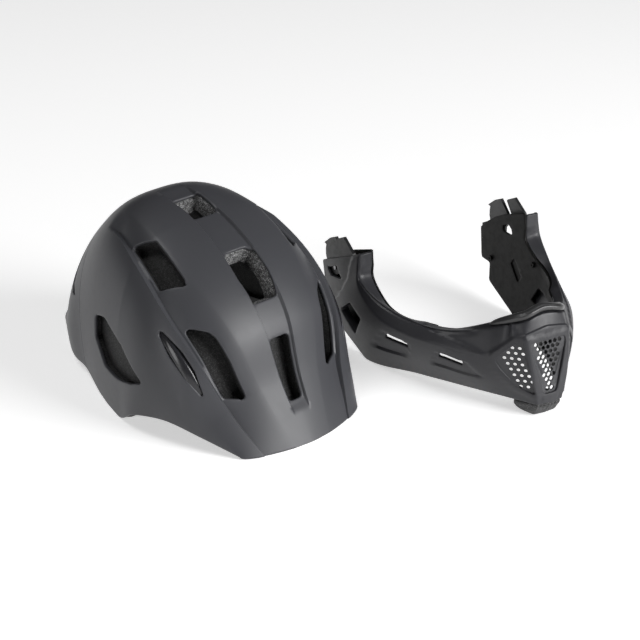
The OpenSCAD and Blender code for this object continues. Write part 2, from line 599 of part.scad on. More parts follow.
module buckle_pin() {
    color([0.7, 0.7, 0.72]) translate([lever_x, buckle_y, lever_z]) rotate([90, 0, 0])
        cylinder(r = buckle_pin_r, h = frame_wide + 0.6, center = true, $fn = 32);
}
module buckle_lever() {
    color([0.13, 0.13, 0.14]) translate([lever_x, buckle_y, lever_z]) rotate([90, 0, 0])
        translate([0, 0, -(frame_wide / 2 - 2.5)]) difference() {
            linear_extrude(frame_wide - 5) polygon([[-16, 2], [-15, 3.2], [-3, 3.4], [3, 2.6], [4.2, 0],
                [3.6, -2], [1.5, -2.6], [0, -3], [-3, -1.5], [-15, 0.6]]);
            translate([0, 0, -1]) cylinder(r = buckle_pin_r + run_gap, h = frame_wide, $fn = 32);
        }
}
ratchet_pitch = 2.5;
module buckle_tongue() {
    color([0.15, 0.15, 0.16]) translate([-2, buckle_y + 5.5, tongue_z]) rotate([90, 0, 0]) linear_extrude(11)
        polygon(concat([[0, 0], [tongue_long, 0], [tongue_long, 1.6], [20, 1.6]],
            [for (i = [7 : -1 : 0]) each [[1.2 + i * ratchet_pitch + 1.2, 1.4], [1.2 + i * ratchet_pitch, 2.5],
                [1.2 + i * ratchet_pitch - 0.6, 1.4]]], [[0, 1.2]]));
}
strap_pad = [30, 22, 5.7];
module chin_strap_pad() {
    low = strap_wall + 3 * seat_gap;
    function spot(i, j, k) = let (s = i / 10, t = j / 6) [-frame_long + 10 - strap_pad[0] * s,
        buckle_y + strap_pad[1] * (t - 0.5), low + k * lerp(1.2, strap_pad[2], rise(s, t))];
    color([0.06, 0.06, 0.065]) wall([for (j = [0 : 6]) [for (i = [10 : -1 : 0]) spot(i, j, 1)]],
        [for (j = [0 : 6]) [for (i = [10 : -1 : 0]) spot(i, j, 0)]]);
}

// Chin bar, in its own frame: x across, -y forward, z up from the surface.
// Stations run from 0 at the middle of the chin to 8 at the top of an arm.
top_line = [[0, -216, 102], [23, -214.5, 97], [46, -184, 83], [70, -152, 74], [88, -116, 74],
    [100, -84, 81], [106, -60, 94], [105, -57, 106], [104, -56, 118]];
crease_line = [[0, -223, 89], [24, -221.5, 84], [54, -191, 60], [77, -158, 60], [93, -122, 60],
    [103, -88, 64], [108, -62, 78], [108, -50, 96], [106, -44, 112]];
low_line = [[0, -234, 16], [14, -232.5, 16], [42, -183, 14.5], [58, -149, 12], [72, -115, 8.5],
    [93, -50, 0], [98, 0, 22], [101, 18, 46], [102.5, 23, 80]];
// Heading of the outside and its outward bow at each station, in degrees from +x and mm
facing = [-90, -72, -43, -33, -24, -16, -6, 0, 0];
bow_line = [0.6, 0.8, 2.4, 2.6, 2.6, 2.6, 2.4, 2.2, 2];
// Plane of the arms' inner plates, across the bar
arm_inside = bar_width / 2 - arm_depth;
arm_end = len(top_line) - 1;
bx = bar_width / 212;
by = bar_reach / 260;
bz = bar_height / 118;
function after(list) = [for (i = [1 : len(list) - 1]) list[i]];
function sized(p) = [p[0] * bx, p[1] * by, p[2] * bz];
function station(line, q) = sized(q <= 1 ? lerp(line[0], line[1], q) : along(after(line), q - 1));
function top_at(q) = station(top_line, q);
function crease_at(q) = station(crease_line, q);
function low_at(q) = q < 5 ? station(low_line, q) : sized(runs(low_line, q));
function face_dir(q) = let (a = runs(facing, q)) [cos(a), sin(a), 0];
// Point of the bar's skin: q along it, v from 0 at the low edge through 1 at the crease
// to 2 at the top, and d inwards
function bar_skin(q, v, d) = (v <= 1
    ? lerp(low_at(q), crease_at(q), v) + face_dir(q) * runs(bow_line, q) * sin(180 * v)
    : lerp(crease_at(q), top_at(q), v - 1)) - face_dir(q) * d;
function flipped(p, s) = [p[0] * s, p[1], p[2]];
function bar_point(q, v, d) = flipped(bar_skin(abs(q), v, d), q < 0 ? -1 : 1);
// Depth to the inner plate, which is flat along the arm
function depth_at(q, v) = max(bar_wall + 0.6, lerp(bar_depth,
    (bar_skin(q, v, 0)[0] - arm_inside) / cos(runs(facing, q)), clamp((q - 3.6) / 1.2)));
half_stations = concat([for (i = [16 : -1 : 3]) i / 2], [1.25, 1, 0.5]);
bar_stations = concat(half_stations, [0], [for (i = [len(half_stations) - 1 : -1 : 0]) -half_stations[i]]);
bar_levels = [0, 0.25, 0.5, 0.75, 1, 1.5, 2];
// How far the top edge of an arm slopes down inwards, as a part of the face over the crease
function top_drop(q) = 4 / norm(top_at(q) - crease_at(q)) * clamp((q - 1.9) / 0.8) * clamp((7 - q) / 0.8);
// Section of the bar: a flange, the outside and a flange, d thick
function bar_row(q, d) = let (a = abs(q), s = q < 0 ? -1 : 1,
    lo = d / norm(crease_at(a) - low_at(a)), hi = 2 - d / norm(top_at(a) - crease_at(a))) concat(
    [flipped(bar_skin(a, lo, depth_at(a, lo)), s)],
    [for (v = bar_levels) flipped(bar_skin(a, max(lo, min(hi, v)), d), s)],
    [flipped(bar_skin(a, hi - top_drop(a), depth_at(a, hi)), s)]);
module bar_place() { translate([bar_x, bar_y, 0]) rotate([0, 0, bar_turn]) children(); }
module on_side(side) { mirror([side < 0 ? 1 : 0, 0, 0]) children(); }
// Frame of an arm's top end: x outwards, y rearwards along the end and z out of it
arm_slope = 26;
arm_mid = (top_at(arm_end) + low_at(arm_end)) / 2;
arm_half = norm(top_at(arm_end) - low_at(arm_end)) / 2;
module arm_frame(side) { on_side(side) translate(arm_mid) rotate([-arm_slope, 0, 0]) children(); }
// Openings through the bar, as station and level of the outside
slot_low = [[2.42, 0.55], [2.45, 0.7], [3.15, 0.69], [3.12, 0.54]];
slot_mid = [[4.05, 0.7], [4.65, 0.68], [4.81, 0.4], [4.23, 0.48]];
slot_high = [[5.4, 0.24], [5.42, 0.66], [6, 0.66], [6.12, 0.34]];
// Slots of an arm's inner plate, as y and z
plate_slot_rear = [[-41, 66], [-55, 49], [-49, 40], [-34, 58]];
plate_slot_mid = [[-77, 43], [-95, 37], [-80, 31], [-73, 33]];
// The finger window of each arm, in the frame of the arm's end, through the shell and the plate
window_out = [[10, -6.5], [35, -6.5], [30, -16.5], [3, -22]];
window_in = [[-14, -5], [2, -5], [3, -12], [-13, -19]];
notch_y = 2;
notch_z = 43.4;
module bar_slot(outline, side, d1, d0) {
    block([for (p = outline) bar_point(side * p[0], p[1], d1)],
        [for (p = outline) bar_point(side * p[0], p[1], d0)]);
}
module across(outline, x1, x0) {
    block([for (p = outline) [x1, p[0], p[1]]], [for (p = outline) [x0, p[0], p[1]]]);
}
module rear_notch(side) {
    on_side(side) translate([60, notch_y * by, -10]) cube([bar_width - 2 * 60, 60, notch_z * bz + 10]);
}
chin_tilt = 81;
side_tilt = 87.2;
side_heading = 42.4;
side_centre = [27, -214, 55];
chin_centre = [0, -228.5, 53];
centre_outline = [[-19, 26], [19, 26], [20, 20], [8, -26], [5, -28], [-5, -28], [-8, -26], [-20, 20]];
side_outline = [[-6, 24], [-1, 25], [19, 6], [20, 2], [15, -6], [0, -22], [-18, -29], [-21, -28]];
module chin_face() { translate(sized(chin_centre)) rotate([chin_tilt, 0, 0]) children(); }
module side_face(side) {
    on_side(side) translate(sized(side_centre)) rotate([side_tilt, 0, side_heading]) children();
}
module prism(outline, k, z1, z0) {
    block([for (p = outline) [p[0] * k, p[1] * k, z1]], [for (p = outline) [p[0] * k, p[1] * k, z0]]);
}
module bar_shell() {
    color([0.2, 0.21, 0.22]) bar_place() difference() {
        wall([for (q = bar_stations) bar_row(q, 0)], [for (q = bar_stations) bar_row(q, bar_wall)]);
        for (s = [-1, 1]) {
            for (o = [slot_low, slot_mid, slot_high]) bar_slot(o, s, -8, bar_depth + 6);
            arm_frame(s) across(window_out, 12, -bar_wall - 4);
            rear_notch(s);
            side_face(s) prism(side_outline, 0.9, 8, -bar_wall - 6);
        }
        chin_face() prism(centre_outline, 0.9, 10, -bar_wall - 6);
    }
}
plate_first = 2.5;
plate_rows = 11;
// Level of each of the plate's edge points, and how far it stands above the arm's end there
plate_levels = [[1.94, 2], [1.5, 2.2], [1, 2.6], [0.6, 4.5], [0.35, 3.5], [0.15, 0], [0, -4]];
function plate_row(i, side, d) = let (q = plate_first + i / 2,
    t = clamp((q - 7) / (arm_end - 7)), up = [0, sin(arm_slope), cos(arm_slope)])
    [for (l = plate_levels) let (v = l[0] > 1 ? 1 + (l[0] - 1) * (1 - top_drop(q)) : l[0])
        flipped(bar_skin(q, v, depth_at(q, v) + seat_gap + d) + up * l[1] * t, side)];
function turned(row, side) = side > 0 ? row : [for (i = [len(row) - 1 : -1 : 0]) row[i]];
screw_spots = [[6.7, 0.2], [5.3, 1.25], [3.4, 0.8]];
plate_screw_r = 1.5;
module plate_screw_place(p, side) {
    function at(q, v) = bar_skin(q, v, depth_at(q, v) + seat_gap + plate_wall);
    o = at(p[0], p[1]);
    z = unit(cross(at(p[0], p[1] + 0.05) - o, at(p[0] + 0.05, p[1]) - o));
    x = unit(cross([0, 1, 0], z));
    y = cross(z, x);
    on_side(side) multmatrix([[x[0], y[0], z[0], o[0]], [x[1], y[1], z[1], o[1]], [x[2], y[2], z[2], o[2]],
        [0, 0, 0, 1]]) children();
}
module arm_plate(side) {
    color([0.06, 0.06, 0.065]) bar_place() difference() {
        wall([for (i = [0 : plate_rows]) turned(plate_row(i, side, 0), side)],
            [for (i = [0 : plate_rows]) turned(plate_row(i, side, plate_wall), side)]);
        bar_slot([for (p = slot_low) p + [0.18, -0.15]], side, bar_depth - 4, bar_depth + 8);
        on_side(side) {
            for (o = [plate_slot_rear, plate_slot_mid])
                across([for (p = o) [p[0] * by, p[1] * bz]], arm_inside + 20, arm_inside - 20);
        }
        arm_frame(side) across(window_in, 0, -30);
        rear_notch(side);
        for (p = screw_spots) plate_screw_place(p, side)
            cylinder(r = plate_screw_r + 0.1, h = 20, center = true, $fn = 24);
    }
}
module arm_screws() {
    color([0.3, 0.3, 0.31]) bar_place() for (s = [-1, 1], p = screw_spots) plate_screw_place(p, s)
        difference() {
            shank = plate_wall + 3;
            translate([0, 0, -shank]) union() {
                cylinder(r = plate_screw_r, h = shank + 1.5, $fn = 32);
                translate([0, 0, shank + 0.7]) cylinder(r = 2 * plate_screw_r, h = 1.6, $fn = 32);
            }
            translate([0, 0, 1.4]) cylinder(r = 1.2, h = 2, $fn = 6);
        }
}
// Tongues of an arm: a fixed one in front, on the cap, and a hooked one behind, on the latch lever
cap_wall = 3;
cap_inside = arm_inside - arm_mid[0] + seat_gap;
fixed_x = -1.3 - tongue_wall;
hook_x = -bar_wall - 0.8 - tongue_wall;
pivot = [20, -9];
hook_end = 38;
function end_point(v) = let (p = bar_skin(arm_end, v, bar_wall + 2 * seat_gap) - arm_mid)
    [p[0], p[1] * cos(arm_slope) - p[2] * sin(arm_slope)];
module arm_cap(side) {
    ys = [for (v = [0.12 : 0.22 : 1]) end_point(v)];
    reach = arm_half - bar_wall - seat_gap;
    front = reach - cap_wall * tan(arm_slope);
    color([0.12, 0.12, 0.13]) bar_place() arm_frame(side) difference() {
        union() {
            translate([0, 0, -cap_wall]) linear_extrude(cap_wall) polygon(concat([[cap_inside, -front],
                [cap_inside, reach], [end_point(0.09)[0], reach]], ys, [[end_point(2)[0], -front]]));
            translate([fixed_x, 0, 0]) rotate([90, 0, 90]) linear_extrude(tongue_wall)
                polygon([[-tongue_width + 1, -cap_wall], [-2.5, -cap_wall], [-2.5, 3], [1, tongue_height - 3],
                    [-1, tongue_height - 2], [-tongue_width / 2, tongue_height - 1.5], [-tongue_width + 2, 2]]);
        }
        translate([hook_x - 1, -9, -cap_wall - 1]) cube([tongue_wall + 1.6, hook_end + 10, cap_wall + 2]);
    }
}
// The hook's barb faces rearwards, and its tail shows as a press tab in the finger window
module latch_lever(side) {
    t = tongue_height;
    color([0.15, 0.15, 0.16]) bar_place() arm_frame(side) translate([hook_x, 0, 0]) rotate([90, 0, 90])
        difference() {
            linear_extrude(tongue_wall) polygon([[0, -4.5], [0, 2], [8, t], [19, t], [34, t - 3.4],
                [30.8, t - 5.8], [33.6, t - 9.5], [36, 6], [36.6, -3.5], [33, -6.5], [32, -14.5], [29, -17],
                [15, -15.5], [12, -9]]);
            translate([pivot[0], pivot[1], -1])
                cylinder(r = latch_pin_r + run_gap, h = tongue_wall + 2, $fn = 40);
        }
}
module latch_pins() {
    color([0.7, 0.7, 0.72]) bar_place() for (s = [-1, 1]) arm_frame(s)
        translate([cap_inside, pivot[0], pivot[1]]) rotate([0, 90, 0])
            cylinder(r = latch_pin_r, h = -cap_inside - bar_wall + 1, $fn = 40);
}
// Flat spring between the lever's front and the arm's floor
spring_wall = 0.5;
function spring_line(i) = let (t = i / 10) [3 - 14 * t, -6.2 - 7 * t - 2.5 * sin(180 * t)];
module latch_spring(side) {
    line = [for (i = [0 : 10]) spring_line(i)];
    back = [for (i = [10 : -1 : 0]) line[i] + [0, spring_wall]];
    color([0.75, 0.75, 0.77]) bar_place() arm_frame(side) translate([hook_x + 0.5, 0, 0]) rotate([90, 0, 90])
        linear_extrude(tongue_wall - 1) polygon(concat(line, back));
}
// Soft lip over the chin's top edge, and the foam block under the chin
module sweep(rows) {
    n = len(rows);
    m = len(rows[0]);
    polyhedron(points = [for (r = rows) each r],
        faces = concat([[for (i = [m - 1 : -1 : 0]) i]], [[for (i = [0 : m - 1]) (n - 1) * m + i]],
            [for (i = [0 : n - 2], j = [0 : m - 1]) let (p = i * m + j, q = i * m + (j + 1) % m)
                each [[p, q + m, p + m], [p, q, q + m]]]));
}
lip_high = 6;
lip_deep = 9.5;
lip_reach = 1.75;
lip_rows = 12;
function lip_row(i) = let (t = i / lip_rows, q = lip_reach * t, a = abs(q), s = q < 0 ? -1 : 1,
    k = pow(clamp(1.04 - pow(abs(t), 6)), 0.5),
    c = top_at(a) - face_dir(a) * (lip_deep / 2 + 0.6) + [0, 0, 2 * seat_gap + k * lip_high / 2])
    [for (j = [0 : 9]) flipped(c + face_dir(a) * k * lip_deep / 2 * cos(36 * j)
        + [0, 0, k * lip_high / 2 * sin(36 * j)], s)];
module mouth_pad() {
    color([0.05, 0.05, 0.055]) bar_place() sweep([for (i = [-lip_rows : lip_rows]) lip_row(i)]);
}
foam_reach = 1.35;
foam_rows = 6;
function foam_row(i) = let (q = foam_reach * i / foam_rows, a = abs(q), s = q < 0 ? -1 : 1,
    p = low_at(a), d = face_dir(a), h = p[2] - seat_gap)
    [for (c = [[-2, h], [-bar_depth - 6, h], [-bar_depth - 9, h * 0.4], [-bar_depth - 7, 0], [-11, 0],
        [-4, h * 0.45]]) flipped([p[0], p[1], 0] + d * c[0] + [0, 0, c[1]], s)];
module chin_foam() {
    color([0.2, 0.2, 0.2]) bar_place() sweep([for (i = [-foam_rows : foam_rows]) foam_row(i)]);
}
// Grilles that close the chin's openings from inside
grille_wall = 1.8;
hex_pitch = mesh_hex + 1.2;
module centre_grille() {
    color([0.17, 0.17, 0.18]) bar_place() chin_face() translate([0, 0, -bar_wall - grille_wall - 2])
        linear_extrude(grille_wall) difference() {
            polygon(centre_outline * 0.98);
            for (i = [-5 : 5], j = [-5 : 5])
                let (x = hex_pitch * (i + (j % 2 == 0 ? 0 : 0.5)), y = hex_pitch * 0.866 * j)
                    if (abs(x) < 15.5 - 0.26 * (24 - y) && abs(y) < 23.5)
                        translate([x, y]) circle(r = mesh_hex / sqrt(3), $fn = 6);
        }
}
side_pitch = 7;
module side_grille(side) {
    color([0.17, 0.17, 0.18]) bar_place() side_face(side) translate([0, 0, -bar_wall - grille_wall - 1.6])
        linear_extrude(grille_wall) difference() {
            polygon(side_outline);
            for (i = [-4 : 4], j = [-4 : 4])
                let (x = side_pitch * (i + (j % 2 == 0 ? 0 : 0.5)) + 1, y = side_pitch * 0.8 * j)
                    if (x > -4 - 0.34 * (20 - y) && x < 15 - abs(y - 3) * 0.75 && y < 20 && y > -26)
                        translate([x, y]) circle(r = mesh_hole_r, $fn = 20);
        }
}

outer_shell();
tail_shell();
foam_liner();
temple_trim(1);  // temple_trim_left
temple_trim(-1);  // temple_trim_right
chin_socket(1);  // socket_left
chin_socket(-1);  // socket_right
brow_pad();
crown_pad(1);  // crown_pad_left
crown_pad(-1);  // crown_pad_right
side_pad(1);  // side_pad_left
side_pad(-1);  // side_pad_right
temple_anchors();
headband(1);  // band_left
headband(-1);  // band_right
cradle();
dial_housing();
dial_cover();
rack(1);  // rack_left
rack(-1);  // rack_right
pinion();
dial();
dial_screw();
height_strip();
height_clip();
strap_anchors();
side_straps(1, tongue_long - 2 + seat_gap);  // strap_left
side_straps(-1, frame_long - 14 + seat_gap);  // strap_right
divider(1);  // divider_left
divider(-1);  // divider_right
buckle_frame();
buckle_pin();
buckle_lever();
buckle_tongue();
chin_strap_pad();
bar_shell();
arm_plate(1);  // arm_plate_left
arm_plate(-1);  // arm_plate_right
arm_cap(1);  // arm_cap_left
arm_cap(-1);  // arm_cap_right
latch_lever(1);  // latch_lever_left
latch_lever(-1);  // latch_lever_right
latch_pins();
latch_spring(1);  // latch_spring_left
latch_spring(-1);  // latch_spring_right
arm_screws();
mouth_pad();
chin_foam();
centre_grille();
side_grille(1);  // side_grille_left
side_grille(-1);  // side_grille_right
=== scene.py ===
import bmesh
import bpy
import json
import math
import numpy as np
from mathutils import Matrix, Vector


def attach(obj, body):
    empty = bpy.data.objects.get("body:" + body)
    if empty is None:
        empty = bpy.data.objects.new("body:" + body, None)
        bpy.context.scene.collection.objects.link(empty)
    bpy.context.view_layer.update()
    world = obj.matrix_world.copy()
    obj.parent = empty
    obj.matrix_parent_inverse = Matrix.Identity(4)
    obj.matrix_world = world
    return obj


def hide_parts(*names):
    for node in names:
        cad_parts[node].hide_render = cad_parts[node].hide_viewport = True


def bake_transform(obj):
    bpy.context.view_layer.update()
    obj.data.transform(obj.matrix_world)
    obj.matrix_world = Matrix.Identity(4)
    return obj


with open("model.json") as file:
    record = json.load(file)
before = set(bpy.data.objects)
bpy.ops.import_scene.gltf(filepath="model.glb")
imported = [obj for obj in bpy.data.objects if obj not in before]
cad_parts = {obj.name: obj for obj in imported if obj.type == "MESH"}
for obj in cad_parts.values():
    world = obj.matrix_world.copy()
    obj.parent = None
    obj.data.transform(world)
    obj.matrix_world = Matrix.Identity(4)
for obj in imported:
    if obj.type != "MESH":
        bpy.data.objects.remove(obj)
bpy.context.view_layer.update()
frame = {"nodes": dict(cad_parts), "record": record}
nodes = frame["nodes"]
mm = 0.001  # shapes are worked out in millimetres and put into meshes in metres
farAway = 50.0  # distance given to points that no outline is near
tiny = 1e-12
sides = ((1, "Left"), (-1, "Right"))
print("frame loaded", len(nodes), "nodes")


# Curves and small helpers

# Smooth curve through points: the cubic that passes each one with the slope between its neighbours.
def along(points, u):
    p = np.asarray(points, float)
    if p.ndim == 1:
        return along(p[:, None], u)[..., 0]
    n = len(p) - 1
    u = np.asarray(u, float)
    i = np.clip(np.floor(u).astype(int), 0, n - 1)
    t = (u - i)[..., None]
    q = np.vstack([2 * p[0] - p[1], p, 2 * p[n] - p[n - 1]])
    a, b, c, d = q[i], q[i + 1], q[i + 2], q[i + 3]
    return (2 * b + (c - a) * t + (2 * a - 5 * b + 4 * c - d) * t ** 2 + (3 * b - a - 3 * c + d) * t ** 3) / 2


# Straight runs between points, at u.
def runs(points, u):
    p = np.asarray(points, float)
    if p.ndim == 1:
        return np.interp(u, range(len(p)), p)
    return np.stack([np.interp(u, range(len(p)), p[:, k]) for k in range(p.shape[1])], -1)


def lerp(a, b, t):
    return a + (b - a) * t


def unit(v):
    return v / np.maximum(np.linalg.norm(v, axis=-1, keepdims=True), tiny)


# Ramp from 0 to 1 with level ends.
def smooth(x):
    x = np.clip(x, 0, 1)
    return x * x * (3 - 2 * x)


# Length along a path up to each of its points.
def lengths(path):
    return np.concatenate([[0], np.cumsum(np.linalg.norm(np.diff(path, axis=0), axis=1))])


# Cosine and sine of a, each raised to a power with its sign kept: a circle drawn out towards a square.
def oblong(a, power):
    return [np.sign(k) * np.abs(k) ** power for k in (np.cos(a), np.sin(a))]


def mirrored(points, side):
    return np.array(points, float) * [side, 1, 1]


# Points with x turned over where q is below 0.
def flipped(p, q):
    return p * np.stack([np.where(q < 0, -1, 1), 1 + 0 * q, 1 + 0 * q], -1)


# Rows are the x, y and z directions of a frame turned about x and then about z.
def axes(turnX, turnZ=0):
    a, b = math.radians(turnX), math.radians(turnZ)
    x = np.array([math.cos(b), math.sin(b), 0])
    y = np.array([-math.sin(b) * math.cos(a), math.cos(b) * math.cos(a), math.sin(a)])
    return np.stack([x, y, np.cross(x, y)])


# Polygon with each corner taken by an arc of that radius, or less where an edge is short.
def rounded(points, radius, steps=6):
    p = np.asarray(points, float)
    out = []
    for a, b, c in zip(np.roll(p, 1, 0), p, np.roll(p, -1, 0)):
        u, v = unit(a - b), unit(c - b)
        half = math.acos(float(np.clip(u @ v, -1, 1))) / 2
        reach = min(radius / math.tan(half), 0.46 * np.linalg.norm(a - b), 0.46 * np.linalg.norm(c - b))
        t = np.linspace(0, 1, steps + 1)[:, None]
        out.append((1 - t) ** 2 * (b + u * reach) + 2 * t * (1 - t) * b + t ** 2 * (b + v * reach))
    return np.vstack(out)


# Distance of points to a closed polygon, less than 0 inside it: the least over its edges, signed by
# crossings. Only points within a margin of its box are measured.
def signedDistance(poly, x, y, margin=12):
    shape, x, y = x.shape, x.ravel(), y.ravel()
    far = np.full(x.shape, farAway)
    lo, hi = poly.min(0) - margin, poly.max(0) + margin
    near = (x > lo[0]) & (x < hi[0]) & (y > lo[1]) & (y < hi[1])
    px, py = x[near][:, None], y[near][:, None]
    a, b = poly, np.roll(poly, -1, 0)
    e, dx, dy = b - a, px - a[:, 0], py - a[:, 1]
    t = np.clip((dx * e[:, 0] + dy * e[:, 1]) / np.maximum((e ** 2).sum(1), tiny), 0, 1)
    d = np.sqrt((dx - t * e[:, 0]) ** 2 + (dy - t * e[:, 1]) ** 2).min(1)
    up = (a[:, 1] > py) != (b[:, 1] > py)
    rise = np.where(np.abs(e[:, 1]) < tiny, tiny, e[:, 1])
    inside = (up & (px < a[:, 0] + dy * e[:, 0] / rise)).sum(1) % 2 == 1
    far[near] = np.where(inside, -d, d)
    return far.reshape(shape)


# Object that holds this data, in the scene.
def placed(name, data):
    o = bpy.data.objects.new(name, data)
    bpy.context.scene.collection.objects.link(o)
    return o


# Object from points in millimetres and faces, with its place in its mesh.
def makeMesh(name, points, faces, slots=None, smoothAngle=35):
    me = bpy.data.meshes.new(name)
    me.from_pydata((np.asarray(points, float) * mm).tolist(), [], [list(map(int, f)) for f in faces])
    if slots is not None:
        me.polygons.foreach_set("material_index", np.asarray(slots, np.int32))
    me.validate()
    me.update()
    me.shade_smooth()
    me.set_sharp_from_angle(angle=math.radians(smoothAngle))
    return placed(name, me)


def dress(o, *names):
    o.data.materials.clear()
    for n in names:
        o.data.materials.append(looks[n])


# A new piece stands for a solid of the frame, which is hidden, and wears these looks.
def standFor(o, solid, slot, *names):
    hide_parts(solid)
    dress(o, *names)


# Moulded walls: a surface of two parameters with openings cut along smooth outlines

# Grid points next to an outline move onto it. On each grid edge that an outline crosses, the crossing is
# found by three corrections, the nearer end moves there, and the least move of a point wins.
def snapped(gridA, gridB, measure):
    n, m = gridA.shape
    unmoved = 9.0  # more than any move
    dist, _ = measure(gridA, gridB)
    best, moveA, moveB = np.full((n, m), unmoved), np.zeros((n, m)), np.zeros((n, m))
    for di, dj in ((0, 1), (1, 0)):
        i, j = np.nonzero(dist[:n - di, :m - dj] * dist[di:, dj:] < 0)
        a0, a1, b0, b1 = gridA[i, j], gridA[i + di, j + dj], gridB[i, j], gridB[i + di, j + dj]
        e0, e1 = dist[i, j], dist[i + di, j + dj]
        t = e0 / (e0 - e1)
        for _ in range(3):
            t = np.clip(t - measure(lerp(a0, a1, t), lerp(b0, b1, t))[0] / (e1 - e0), 0, 1)
        for oi, oj, move, own in ((0, 0, t, t <= 0.5), (di, dj, t - 1, t > 0.5)):
            k = np.nonzero(own)[0]
            k = k[np.argsort(-np.abs(move[k]))]
            k = k[np.abs(move[k]) < best[i[k] + oi, j[k] + oj]]
            at = (i[k] + oi, j[k] + oj)
            best[at] = np.abs(move[k])
            moveA[at], moveB[at] = ((a1 - a0) * move)[k], ((b1 - b0) * move)[k]
    dist[best < unmoved] = 0
    return gridA + moveA, gridB + moveB, dist


# surf(a, b, d) gives the point at depth d. Faces inside an outline are dropped, or sunk by its pocket's
# depth. The inside lies at depth(a, b), and each free edge gets rings at edge = [(outwards, down), ...], or
# at collar where the cut has one. Slots: 0 outside, 1 edges, 2 pockets, 3 inside.
def panel(name, gridA, gridB, surf, cuts, depth, edge, collar=None):
    def measure(a, b):
        p = surf(a, b, 0)
        d = np.stack([c["sd"](a, b, p) for c in cuts])
        return d.min(0), d.argmin(0)

    gridA, gridB, dist = snapped(gridA, gridB, measure)
    flatA, flatB = gridA.ravel(), gridB.ravel()
    idx = np.arange(gridA.size).reshape(gridA.shape)
    q = np.stack([idx[:-1, :-1], idx[1:, :-1], idx[1:, 1:], idx[:-1, 1:]], -1).reshape(-1, 4)
    s = dist.ravel()[q]
    mixed = (s > 0).any(1) & (s < 0).any(1)  # an outline runs across these, and they are split along it
    even = ((s[:, 0] == 0) & (s[:, 2] == 0))[:, None]
    halves = (([0, 1, 2], [1, 2, 3]), ([0, 2, 3], [3, 0, 1]))
    tris = [np.where(even, q[:, x], q[:, y])[mixed] for x, y in halves]
    kinds = [q[~mixed], np.vstack(tris)]
    labels = []  # for each face the cut that it lies in, or -1
    for f in kinds:
        d, k = measure(flatA[f].mean(1), flatB[f].mean(1))
        labels.append(np.where(d < 0, k, -1))

    top = surf(flatA, flatB, 0)
    down = unit(top - surf(flatA, flatB, 1.0))
    count = len(top)
    one = q[len(q) // 2]
    if np.cross(top[one[1]] - top[one[0]], top[one[2]] - top[one[0]]) @ down[one[0]] < 0:
        kinds = [f[:, ::-1] for f in kinds]
    points, faces, slots = [top], [], []

    # Adds points and gives the number of the first.
    def put(p):
        points.append(p)
        return sum(map(len, points[:-1]))

    def add(fs, slot):
        faces.extend(fs.tolist())
        slots.extend([slot] * len(fs))

    def within(key):
        return [np.isin(l, [k for k, c in enumerate(cuts) if c.get(key)]) for l in labels]

    def code(e):
        return e[:, 0] * count + e[:, 1]

    # Directed edges of the chosen faces that no other chosen face shares.
    def freeEdges(chosen):
        e = np.vstack([np.stack([f[l][:, i], f[l][:, (i + 1) % f.shape[1]]], 1)
                       for f, l in zip(kinds, chosen) for i in range(f.shape[1])])
        return e[~np.isin(code(e), code(e[:, ::-1]))]

    # Rings of points beside the free edges e, each pushed along the surface and down, then faces to the
    # points that start at end.
    def rim(e, rings, end, lastSlot):
        nxt, prv = np.arange(count), np.arange(count)
        nxt[e[:, 0]], prv[e[:, 1]] = e[:, 1], e[:, 0]
        v = np.unique(e)
        p, pn, pp = top[v], top[nxt[nxt[v]]], top[prv[prv[v]]]
        h2, h1 = (np.maximum(np.linalg.norm(d, axis=1, keepdims=True), 1e-6) for d in (pn - p, p - pp))
        side = unit(np.cross(unit(h1 / h2 * (pn - p) + h2 / h1 * (p - pp)), down[v]))
        at = np.full(count, -1)
        at[v] = np.arange(len(v))
        before = e
        for out, drop in rings:
            ring = p + side * out - down[v] * drop
            ring[:, 2] = np.maximum(ring[:, 2], 0.02)
            now = at[e] + put(ring)
            add(np.hstack([before[:, ::-1], now]), 1)
            before = now
        add(np.hstack([before[:, ::-1], e + end]), lastSlot)

    keep, pocket = [l == -1 for l in labels], within("pocket")
    for f, l in zip(kinds, keep):
        add(f[l], 0)
    base = put(surf(flatA, flatB, depth(flatA, flatB)))
    for f, l, sunk in zip(kinds, keep, pocket):
        add(f[l | sunk][:, ::-1] + base, 3)
    outer = freeEdges(keep)
    shared, collared = (np.isin(code(outer), code(freeEdges(chosen)[:, ::-1]))
                        for chosen in (pocket, within("collar")))
    if collared.any():
        rim(outer[collared], collar, base, 1)
    rim(outer[~shared & ~collared], edge, base, 1)
    if shared.any():
        deep = np.zeros(count)
        for k, c in enumerate(cuts):
            for f, l in zip(kinds, labels):
                deep[f[l == k].ravel()] = c.get("pocket", 0)
        floor = put(surf(flatA, flatB, deep))
        for f, l in zip(kinds, pocket):
            add(f[l] + floor, 2)
        rim(outer[shared], [r for r in edge if r[1] < deep[deep > 0].min() / 2], floor, 2)

    points = np.vstack(points)
    used = np.unique([v for f in faces for v in f])
    new = np.full(len(points), -1)
    new[used] = np.arange(len(used))
    return makeMesh(name, points[used], [new[f] for f in faces], slots)


# Helmet: hoops from rim to rim, each a superellipse that stands on the rim and peaks at the crown line

